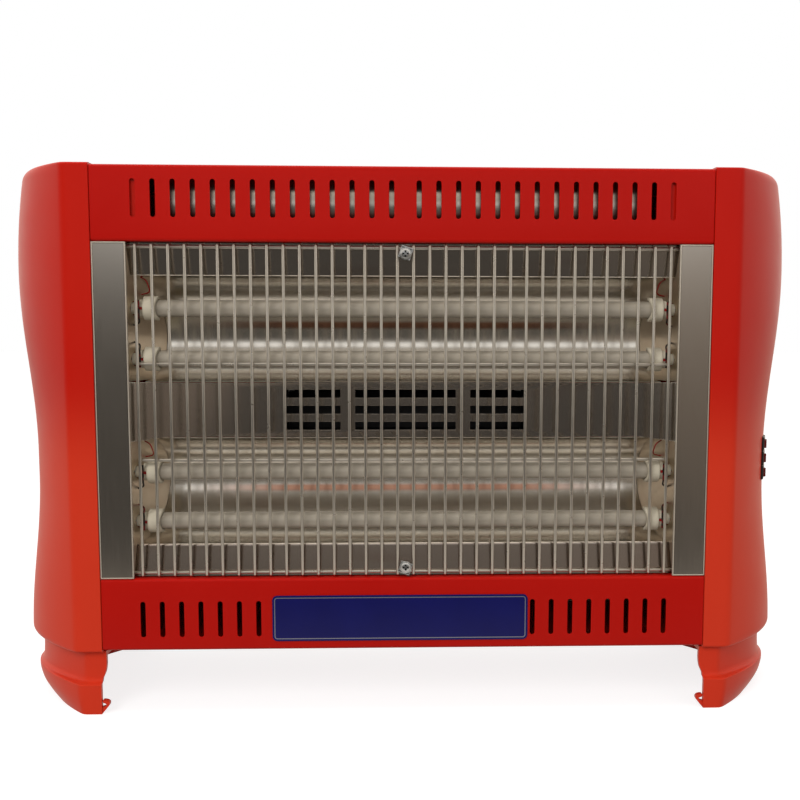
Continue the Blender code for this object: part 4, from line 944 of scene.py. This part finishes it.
shape = cleaned_node("vent_plate")
for vert in shape.verts:
    if abs(vert.co.x) > VENT_BEND_X:
        vert.co.z += math.copysign(VENT_END_RISE, vert.co.z - WINDOW_MID)
vents = bevelled(new_object("vent_sheet", shape), SHEET_EDGE_ROUND)
fit_piece(vents, mirror, "reflector_mirror", "vent_plate")


def end_x(back):
    """Where an end plate's mirror face stands, this far behind the front."""
    return END_X_AT_FOLD - END_SLOPE * (back - FOLD_BACK)


trough = [(FLANGE_START, WINDOW_HIGH - FLANGE_INSET - WINDOW_MID), (FOLD_BACK, FOLD_OFFSET)]
for i in range(1, TROUGH_STEPS):
    turn = math.pi * i / TROUGH_STEPS
    mouth = FOLD_BACK + (VENT_BACK - FOLD_BACK) * (1 - math.cos(turn)) / 2
    depth = (TROUGH_BACK - (FOLD_BACK + VENT_BACK) / 2) * math.sin(turn)
    trough.append((mouth + depth, TROUGH_OFFSET + TROUGH_HEIGHT / 2 * math.cos(turn)))
trough += [(VENT_BACK, VENT_OFFSET), (VENT_BACK, VENT_OFFSET - VENT_EDGE_LIP)]
section = sheet_outline(softened([Vector(p) for p in trough], 150, FOLD_SOFTNESS), MIRROR_SHEET)

for name, flip in (("upper_reflector", 1), ("lower_reflector", -1)):
    rings = []
    for side in (-1, 1):
        ends = [side * (end_x(back) - GAP) for back, _ in section]
        rings.append([(x, behind(back), WINDOW_MID + flip * rise) for x, (back, rise) in zip(ends, section)])
    shape = bmesh.new()
    add_loft(shape, rings)
    fit_piece(new_object(f"{name}_sheet", shape, sharp=50), mirror, "reflector_mirror", name)

# Heat shield. A thin bright sheet over the upper trough, fixed under the top cover. Its front bows out close
# behind the upper slots, where it shows.

SHIELD_HALF_X = VENT_HALF_X + 2 * MIRROR_SHEET
SHIELD_FRONT = 0.0065
SHIELD_BACK = 0.0780
SHIELD_HIGH = CASE_TOP - SHEET - GAP
SHIELD_RADIUS = 0.0235
SHIELD_BULGE_Z = CASE_TOP - SLOT_FROM_EDGE - 0.0026
SHIELD_LOW_TURN = -1.3

shield_sheet = Finish("shield_sheet", srgb(226, 220, 210), 0.30, 1.0)
shield_sheet.set("Roughness", shield_sheet.noise(0.012, stretch=(8, 1, 1)) * 0.12 + 0.26)
shield_sheet.bump(shield_sheet.noise(0.02, stretch=(6, 1, 1)), 0.0001)

top_turn = math.asin((SHIELD_HIGH - SHIELD_BULGE_Z) / SHIELD_RADIUS)
path = []
for i in range(33):
    turn = SHIELD_LOW_TURN + (top_turn - SHIELD_LOW_TURN) * i / 32
    y = behind(SHIELD_FRONT + SHIELD_RADIUS * (1 - math.cos(turn)))
    path.append((y, SHIELD_BULGE_Z + SHIELD_RADIUS * math.sin(turn)))
path.append((behind(SHIELD_BACK), SHIELD_HIGH))
shape = bmesh.new()
add_prism(shape, sheet_outline(path[::-1], MIRROR_SHEET), -SHIELD_HALF_X, SHIELD_HALF_X, "X")
fit_piece(new_object("heat_shield_sheet", shape, sharp=50), shield_sheet, "shield_sheet", "top_heat_shield")

# Quartz tubes. Milky fused quartz with a heating coil inside, which the frosting hides. A ceramic cap
# holds each end: a drum with a scooped mouth, and a slotted stub that takes the lead.

TUBE_RADIUS = 0.0058
TUBE_WALL = 0.0013
TUBE_BACK = 0.0160
CERAMIC_RADIUS = 0.00825
CERAMIC_INNER_X = TRIM_INNER_X - 0.0185
CERAMIC_LENGTH = 0.0100
SOCKET_DEPTH = 0.0062
NECK_RADIUS = 0.0045
NECK_LENGTH = 0.0085
STUB_RADIUS = 0.0062
STUB_LENGTH = 0.0030
STUB_SLOT = 0.0022
SCOOP = 0.0016
DRUM_ROUND = 0.0007
DRUM_CHAMFER = 0.0005
EDGE_CHAMFER = 0.0003
LEAD_BORE = 0.0010
STUB_OVERCUT = 0.0002
TUBE_HALF_LENGTH = CERAMIC_INNER_X + SOCKET_DEPTH - GAP
TUBE_SPREAD = 0.478 * TROUGH_HEIGHT
TUBE_DROP = 0.0435 * TROUGH_HEIGHT

glaze = {"Coat Weight": 0.3, "Coat Roughness": 0.16}
quartz = Finish("frosted_quartz", srgb(152, 144, 132), 0.34, 0.0, glaze)
cloud = quartz.noise(0.004, stretch=(6, 1, 1), detail=3.0)
quartz.set("Base Color", quartz.mix(srgb(160, 150, 133), srgb(178, 168, 152), cloud))

ceramic = Finish("ceramic", srgb(206, 196, 174), 0.55)
ceramic.bump(ceramic.noise(0.0008, detail=3.0), 0.00003)

coil_wire = Finish("resistance_wire", srgb(90, 84, 78), 0.5, 1.0)
coil_wire.set("Roughness", coil_wire.noise(0.002) * 0.3 + 0.35)
coil_wire.on("heating_coil_1", "heating_coil_2", "heating_coil_3", "heating_coil_4")


def add_turned(shape, profile, centre, sides, scoop=None):
    """Adds a ring turned about a line along X through centre (y, z), from a closed loop of (x, radius).

    scoop moves a point along X by its place in the loop and how far it faces forwards or back.
    """
    rings = []
    for i in range(sides):
        turn = 2 * math.pi * i / sides
        side, up = math.cos(turn), math.sin(turn)
        ring = []
        for k, (x, radius) in enumerate(profile):
            shift = scoop[k] * side**2 if scoop else 0.0
            ring.append(shape.verts.new((x + shift, centre[0] + radius * side, centre[1] + radius * up)))
        rings.append(ring)
    count = len(profile)
    for ring, after in zip(rings, rings[1:] + rings[:1]):
        for i in range(count):
            j = (i + 1) % count
            shape.faces.new((ring[i], ring[j], after[j], after[i]))


inner = CERAMIC_INNER_X
outer = inner + CERAMIC_LENGTH
mouth_radius = TUBE_RADIUS + 2 * GAP

# Each point's place along the tube, its radius, and its share of the scoop.
ceramic_profile = [
    (inner, mouth_radius, 1.0),
    (inner, CERAMIC_RADIUS - DRUM_CHAMFER, 1.0),
    (inner + 0.0002, CERAMIC_RADIUS - 0.0001, 1.0),
    (inner + 0.0006, CERAMIC_RADIUS, 0.9),
    (inner + 0.0040, CERAMIC_RADIUS, 0.2),
]
for i in range(7):
    turn = math.pi / 2 * i / 6
    x = outer - DRUM_ROUND * (1 - math.sin(turn))
    ceramic_profile.append((x, CERAMIC_RADIUS - DRUM_ROUND * (1 - math.cos(turn)), 0.0))
ceramic_profile += [
    (outer, STUB_RADIUS, 0.0),
    (outer + STUB_LENGTH - EDGE_CHAMFER, STUB_RADIUS, 0.0),
    (outer + STUB_LENGTH, STUB_RADIUS - EDGE_CHAMFER, 0.0),
    (outer + STUB_LENGTH, NECK_RADIUS, 0.0),
    (outer + NECK_LENGTH, NECK_RADIUS - 0.0004, 0.0),
    (outer + NECK_LENGTH, LEAD_BORE, 0.0),
    (inner + SOCKET_DEPTH, LEAD_BORE, 0.0),
    (inner + SOCKET_DEPTH, mouth_radius, 0.0),
]
end = TUBE_HALF_LENGTH
tube_profile = [(-end, TUBE_RADIUS - EDGE_CHAMFER), (-end + EDGE_CHAMFER, TUBE_RADIUS)]
tube_profile += [(end - EDGE_CHAMFER, TUBE_RADIUS), (end, TUBE_RADIUS - EDGE_CHAMFER)]
tube_profile += [(end, TUBE_RADIUS - TUBE_WALL), (-end, TUBE_RADIUS - TUBE_WALL)]

tube_rows = []
for trough_offset in (TROUGH_OFFSET, -TROUGH_OFFSET):
    for half_spread in (TUBE_SPREAD / 2, -TUBE_SPREAD / 2):
        tube_rows.append(WINDOW_MID + trough_offset + half_spread - TUBE_DROP)

for number, z in enumerate(tube_rows, 1):
    centre = (behind(TUBE_BACK), z)
    shape = bmesh.new()
    add_turned(shape, tube_profile, centre, 40)
    tube = new_object(f"tube_{number}_quartz", shape, sharp=40)
    fit_piece(tube, quartz, "frosted_quartz", f"quartz_tube_{number}")
    for side_name, side in (("left", -1), ("right", 1)):
        shape = bmesh.new()
        profile = [(side * x, radius) for x, radius, _ in ceramic_profile]
        scoop = [side * SCOOP * share for _, _, share in ceramic_profile]
        add_turned(shape, profile, centre, 40, scoop)
        cap = new_object(f"tube_{number}_{side_name}_ceramic", shape, sharp=40)
        stub_ends = sorted((side * (outer + EDGE_CHAMFER), side * (outer + STUB_LENGTH + STUB_OVERCUT)))
        across = rectangle(*stub_ends, z - STUB_SLOT / 2, z + STUB_SLOT / 2)
        slot = bmesh.new()
        add_prism(slot, across, behind(TUBE_BACK - CERAMIC_RADIUS), behind(TUBE_BACK + CERAMIC_RADIUS), "Y")
        combine(cap, slot, sharp=40)
        fit_piece(cap, ceramic, "white_ceramic", f"ceramic_cap_{number}_{side_name}")

# Leads. A red crimp in each stub's slot joins a dark sleeved wire, which runs across the stub's end, bends
# towards the other tube of its pair and goes back through the end plate. A thin red wire comes down to each
# pair.

SLEEVE_RADIUS = 0.00062
CRIMP_RADIUS = 0.0010
CRIMP_LENGTH = 0.0024
LINK_RADIUS = 0.00045
LINK_DROP = 0.0006
LEAD_FRONT = TUBE_BACK - STUB_RADIUS
SLEEVE_FRONT = LEAD_FRONT - 0.0008
CRIMP_FRONT = LEAD_FRONT - 0.0004
LINK_BACK = LEAD_FRONT + 0.0004
CRIMP_OUT = 0.3 * STUB_LENGTH
SLEEVE_OUT = 0.8 * STUB_LENGTH

# Points of a route: how far outward, how far behind the front, and how far along the window's height.
LEAD_ROUTE = (
    (0.0, SLEEVE_FRONT, -0.0056),
    (0.0, SLEEVE_FRONT, -0.0020),
    (0.0, SLEEVE_FRONT, 0.0020),
    (0.0, SLEEVE_FRONT, 0.0064),
    (0.0010, TUBE_BACK - 0.0034, 0.0100),
    (0.0070, TUBE_BACK, 0.0122),
)
DROP_ROUTE = (
    (0.0030, TUBE_BACK + 0.003, 0.0212),
    (-0.0005, TUBE_BACK + 0.002, 0.0192),
    (-0.0022, TUBE_BACK + 0.002, 0.0160),
    (-0.0020, TUBE_BACK + 0.005, 0.0110),
    (0.0060, TUBE_BACK + 0.008, 0.0090),
)

sleeve = Finish("lead_sleeve", srgb(24, 16, 16), 0.45)
reddened = sleeve.noise(0.006, seed=4.0).fade(0.52, 0.60)
sleeve.set("Base Color", sleeve.mix(srgb(20, 16, 16), srgb(112, 16, 16), reddened))
crimp_red = Finish("crimp_red", srgb(150, 18, 16), 0.40)
crimp_red.bump(crimp_red.noise(0.0006), 0.00004)


def wire_ring(centre, across, up, radius, sides):
    """A ring of points round a wire's centre line, in the plane of two square directions."""
    return [centre + across * a + up * b for a, b in circle(0.0, 0.0, radius, sides)]


def add_wire(shape, centres, radius, sides):
    """Adds a round wire along a centre line."""
    points = [Vector(p) for p in centres]
    runs = [points[1] - points[0]]
    runs += [after - before for before, after in zip(points, points[2:])]
    runs.append(points[-1] - points[-2])
    across = runs[0].orthogonal().normalized()
    rings = []
    for point, run in zip(points, runs):
        run = run.normalized()
        across = (across - run * across.dot(run)).normalized()
        rings.append(wire_ring(point, across, run.cross(across), radius, sides))
    add_loft(shape, rings)


for side_name, side in (("left", -1), ("right", 1)):
    sleeves, crimps = bmesh.new(), bmesh.new()
    crimp_x, sleeve_x = side * (outer + CRIMP_OUT), side * (outer + SLEEVE_OUT)
    for number, z in enumerate(tube_rows):
        bend = 1 if number % 2 else -1
        route = [(sleeve_x + side * out, behind(back), z + bend * along) for out, back, along in LEAD_ROUTE]
        add_wire(sleeves, smooth_line(route), SLEEVE_RADIUS, 10)
        crimp = circle(crimp_x, z, CRIMP_RADIUS, 16)
        add_prism(crimps, crimp, behind(CRIMP_FRONT), behind(CRIMP_FRONT + CRIMP_LENGTH), "Y")
        link = [(crimp_x, behind(LINK_BACK), z), (sleeve_x, behind(SLEEVE_FRONT), z - LINK_DROP)]
        add_wire(crimps, link, LINK_RADIUS, 8)
        if number % 2 == 0:
            route = [(side * (outer + out), behind(back), z + along) for out, back, along in DROP_ROUTE]
            add_wire(crimps, smooth_line(route), LINK_RADIUS, 8)
    fit_piece(new_object(f"lead_sleeves_{side_name}", sleeves, sharp=60), sleeve, "black_plastic")
    fit_piece(new_object(f"lead_crimps_{side_name}", crimps, sharp=60), crimp_red, "red_plastic")

# Guard grille. Nickel-plated steel wires: 34 uprights, spot-welded in front of four cross wires. The
# longest reach the end plates, and a clip holds the guard at the top and at the bottom.

GRILLE_HALF_X = TRIM_INNER_X - 0.0044
WIRE_COUNT = 34
WIRE_RADIUS = 0.00110
WIRE_BACK = 0.0040
WELD = 0.0003
GRILLE_MARGIN = 0.0034
CROSS_WIRE_OFFSET = 0.0330
WIRE_END = 0.0022
WIRE_SIDES = 14
END_PLATE_GAP = 0.0006

plated = Finish("plated_wire", srgb(198, 194, 186), 0.30, 0.94)
plated.set("Roughness", plated.noise(0.006, detail=2.0) * 0.10 + 0.24)


def add_rod(shape, start, end, radius, sides):
    """Adds a straight wire with rounded ends."""
    start, end = Vector(start), Vector(end)
    run = (end - start).normalized()
    across = run.orthogonal().normalized()
    up = run.cross(across)
    steps = [(radius * (1 - math.cos(t)), radius * math.sin(t)) for t in (0.25, 0.8, math.pi / 2)]
    stations = [(start + run * along, r) for along, r in steps]
    stations += [(end - run * along, r) for along, r in reversed(steps)]
    add_loft(shape, [wire_ring(spot, across, up, r, sides) for spot, r in stations])


cross_back = WIRE_BACK + 2 * WIRE_RADIUS - WELD
wire_low, wire_high = WINDOW_LOW + GRILLE_MARGIN, WINDOW_HIGH - GRILLE_MARGIN
pitch = 2 * (GRILLE_HALF_X - WIRE_RADIUS) / (WIRE_COUNT - 1)
long_half_x = end_x(cross_back) - END_PLATE_GAP
shape = bmesh.new()
for z, half in (
    (wire_high, long_half_x),
    (WINDOW_MID + CROSS_WIRE_OFFSET, GRILLE_HALF_X),
    (WINDOW_MID - CROSS_WIRE_OFFSET, GRILLE_HALF_X),
    (wire_low, long_half_x),
):
    add_rod(shape, (-half, behind(cross_back), z), (half, behind(cross_back), z), WIRE_RADIUS, WIRE_SIDES)
for i in range(WIRE_COUNT):
    x = (i - (WIRE_COUNT - 1) / 2) * pitch
    low, high = wire_low - WIRE_END, wire_high + WIRE_END
    add_rod(shape, (x, behind(WIRE_BACK), low), (x, behind(WIRE_BACK), high), WIRE_RADIUS, WIRE_SIDES)
fit_piece(new_object("grille_wires", shape, sharp=50), plated, "nickel_wire", "guard_grille")

# Grille clips and screws. Zinc-plated steel: each clip is a small leaf, askew under one cross-head screw,
# with its end turned forwards. The same kind of screw holds the back panel to the collars of the side caps.

CLIP_SCREW_Z = WINDOW_HIGH - 0.0073
CLIP_SEAT = 0.0015
CLIP_FRONT = 0.0018
CLIP_BACK = 0.0026
CLIP_HALF_WIDTH = 0.0042
CLIP_REACH = 0.0048
CLIP_TAIL = 0.0034
CLIP_LIP = 0.0008
CLIP_TILT = math.radians(-19)
CLIP_EDGE_ROUND = 0.0002
CLIP_SCREW = {"head": 0.0041, "height": 0.0013, "shank": 0.0014}
BACK_SCREW = {"head": 0.0036, "height": 0.0016, "shank": 0.0015}
SCREW_LENGTH = 0.0060
PANEL_OUTER = REAR_Y - SHEET - GAP
BACK_SCREW_X = 0.196
BACK_SCREW_HEIGHTS = (CASE_BOTTOM + 0.0600, WINDOW_MID, CASE_TOP - 0.0594)

zinc = Finish("zinc", srgb(214, 218, 220), 0.26, 1.0)
# Painted shade: ambient occlusion turns the base colour near-black in the cross recesses and in the narrow
# gaps round the heads.
hollow = zinc.add("AmbientOcclusion", {"samples": 8}, {"Distance": 0.0016}, 1).fade(0.85, 0.45)
zinc.set("Base Color", zinc.mix(srgb(214, 218, 220), srgb(24, 24, 26), hollow))
zinc.set("Roughness", zinc.noise(0.002, detail=2.0) * 0.2 + 0.20)
zinc.bump(zinc.noise(0.0015), 0.00002)


def add_screw(name, replaced, spot, seat_y, facing, head, height, shank):
    """A pan-head screw with a cross recess. facing is -1 towards the front and 1 towards the back."""
    x, z = spot
    rings = [(-SCREW_LENGTH, shank), (0.0, shank), (0.0, head)]
    rings += [(height * 0.25, head), (height * 0.34, head * 0.94)]
    for i in range(9):
        turn = math.pi / 2 * i / 9
        rings.append((height * (0.36 + 0.64 * math.sin(turn)), head * (0.22 + 0.58 * math.cos(turn))))
    shape = bmesh.new()
    add_loft(shape, [[(a, seat_y + facing * along, b) for a, b in circle(x, z, r, 32)] for along, r in rings])
    screw = new_object(name, shape, sharp=40)
    reach, half = head * 0.52, head * 0.15
    cross = [(reach, half), (half, half), (half, reach)]
    cross += [(-b, a) for a, b in cross]
    cross += [(-a, -b) for a, b in cross]
    recess = bmesh.new()
    ends = sorted((seat_y - facing * height * 0.20, seat_y + facing * height * 2))
    add_prism(recess, [(x + a, z + b) for a, b in cross], *ends, "Y")
    combine(screw, recess, sharp=40)
    fit_piece(screw, zinc, "zinc_screw", replaced)


for name, flip in (("top", 1), ("bottom", -1)):
    spot = (0.0, WINDOW_MID + flip * (CLIP_SCREW_Z - WINDOW_MID))
    shape = bmesh.new()
    leaf = rectangle(-CLIP_HALF_WIDTH, CLIP_HALF_WIDTH, -CLIP_TAIL, CLIP_REACH)
    lip = rectangle(-CLIP_HALF_WIDTH, CLIP_HALF_WIDTH, CLIP_REACH - CLIP_LIP, CLIP_REACH)
    add_prism(shape, leaf, CLIP_FRONT, CLIP_BACK, "Y")
    add_prism(shape, lip, CLIP_FRONT - CLIP_LIP, CLIP_BACK - CLIP_LIP / 2, "Y")
    turned = Matrix.Rotation(-CLIP_TILT + (0 if flip > 0 else math.pi), 4, "Y")
    placed(shape, Matrix.Translation((spot[0], FRONT_Y, spot[1])) @ turned)
    clip = bevelled(new_object(f"clip_{name}", shape), CLIP_EDGE_ROUND)
    fit_piece(clip, zinc, "zinc_screw", f"grille_clip_{name}")
    add_screw(f"clip_screw_{name}", f"grille_screw_{name}", spot, behind(CLIP_SEAT), -1, **CLIP_SCREW)
for side_name, side in (("left", -1), ("right", 1)):
    for number, z in enumerate(BACK_SCREW_HEIGHTS, 1):
        name = f"back_screw_{side_name}_{number}"
        add_screw(f"{name}_head", name, (side * BACK_SCREW_X, z), PANEL_OUTER + GAP, 1, **BACK_SCREW)

# Switches. Three black moulded bodies with raised bezels snap into the right cap, each with a glossy dark red
# rocker that tilts about its own pin.

MOULDED_EDGE_ROUND = 0.0003

black = Finish("black_plastic", srgb(26, 26, 26), 0.42)
black.set("Roughness", black.noise(0.004) * 0.15 + 0.36)
black.bump(black.noise(0.0008, detail=2.0), 0.00002)

dark_red = Finish("rocker_red", srgb(96, 14, 14), 0.22, 0.0, {"Coat Weight": 0.3, "Coat Roughness": 0.1})
dark_red.set("Roughness", dark_red.noise(0.003) * 0.12 + 0.20)

for number in (1, 2, 3):
    housing = new_object(f"switch_{number}_housing", cleaned_node(f"switch_body_{number}"))
    bevelled(housing, MOULDED_EDGE_ROUND)
    fit_piece(housing, black, "black_plastic", f"switch_body_{number}")
    name = f"rocker_{number}"
    rocker = bevelled(new_object(f"switch_{number}_rocker", cleaned_node(name), sharp=25), MOULDED_EDGE_ROUND)
    fit_piece(rocker, dark_red, "rocker_dark_red", name, body=name)

# Cord gland and terminal block. A black moulded ring lines the cord's hole in the back panel, and a small
# ceramic block inside takes its wires. No cord is fitted.

gland = bevelled(new_object("gland_ring", cleaned_node("cord_gland")), MOULDED_EDGE_ROUND)
fit_piece(gland, black, "black_plastic", "cord_gland")
ceramic.on("terminal_block")

# Nameplate. A thin blue aluminium plate with rounded corners and a silver line inside its edge, fixed flat to
# the lower band. It is left bare.

PLATE_LOW_X, PLATE_HIGH_X = -0.0925, 0.0853
PLATE_LOW_Z, PLATE_HIGH_Z = 0.0512, 0.0835
PLATE_ROUND = 0.0035
PLATE_SHEET = 0.0006
LINE_INSET = 0.0017
LINE_HALF_WIDTH = 0.00028
PLATE_EDGE_ROUND = 0.00018

middle_x, middle_z = (PLATE_LOW_X + PLATE_HIGH_X) / 2, (PLATE_LOW_Z + PLATE_HIGH_Z) / 2
half_x, half_z = (PLATE_HIGH_X - PLATE_LOW_X) / 2, (PLATE_HIGH_Z - PLATE_LOW_Z) / 2
outline = []
for a, b, first in ((1, 1, 0), (-1, 1, 90), (-1, -1, 180), (1, -1, 270)):
    for i in range(9):
        turn = math.radians(first + 90 * i / 8)
        corner_x = middle_x + a * (half_x - PLATE_ROUND)
        corner_z = middle_z + b * (half_z - PLATE_ROUND)
        outline.append((corner_x + PLATE_ROUND * math.cos(turn), corner_z + PLATE_ROUND * math.sin(turn)))
shape = bmesh.new()
add_prism(shape, outline, PANEL_Y - GAP - PLATE_SHEET, PANEL_Y - GAP, "Y")
plate = bevelled(new_object("nameplate_sheet", shape), PLATE_EDGE_ROUND)

plate_blue = Finish("plate_blue", srgb(18, 24, 92), 0.20, 0.0, {"Specular IOR Level": 0.3})
plate_x, _, plate_z = plate_blue.axes(plate_blue.place)
out_x = (abs(plate_x - middle_x) - (half_x - PLATE_ROUND)).largest(0.0)
out_z = (abs(plate_z - middle_z) - (half_z - PLATE_ROUND)).largest(0.0)
from_corner = out_x.maths("SQRT", out_x * out_x + out_z * out_z)
line = abs(from_corner - (PLATE_ROUND - LINE_INSET)).fade(LINE_HALF_WIDTH * 1.3, LINE_HALF_WIDTH * 0.8)
shade = plate_blue.mix(srgb(8, 11, 80), srgb(13, 18, 96), plate_blue.noise(0.03))
plate_blue.set("Base Color", plate_blue.mix(shade, srgb(150, 152, 166), line))
plate_blue.set("Metallic", line * 0.7)
fit_piece(plate, plate_blue, "blue_plate", "nameplate")

# Fan. A rolled alloy rotor on its own shaft in a folded galvanised housing, behind the vent plate. A small
# motor with a laminated frame and one copper winding drives it.

# Painted shade: the housing is given a much darker colour than bare galvanised steel, standing in for the
# shade inside the case.
galvanised = Finish("galvanised", srgb(84, 84, 83), 0.55, 0.7)
spangle = galvanised.noise(0.006, detail=1.0)
galvanised.set("Base Color", galvanised.mix(srgb(72, 72, 71), srgb(96, 96, 95), spangle.fade(0.4, 0.6)))
galvanised.on("fan_housing")

# Painted shade: the rotor is given a much darker colour than bare alloy, standing in for the shade inside the
# case.
alloy = Finish("fan_alloy", srgb(70, 70, 71), 0.5, 0.7)
alloy.set("Roughness", alloy.noise(0.004, stretch=(10, 1, 1)) * 0.2 + 0.4)
alloy.on("fan_rotor")

core = Finish("laminations", srgb(104, 104, 106), 0.45, 1.0)
core.bump(core.noise(0.0005, stretch=(1, 400, 400), detail=1.0), 0.0001)
core.on("fan_motor")

copper = Finish("winding", srgb(150, 84, 44), 0.4, 0.8)
copper.bump(copper.noise(0.0005, stretch=(400, 1, 400), detail=1.0), 0.0001)
copper.on("motor_winding")
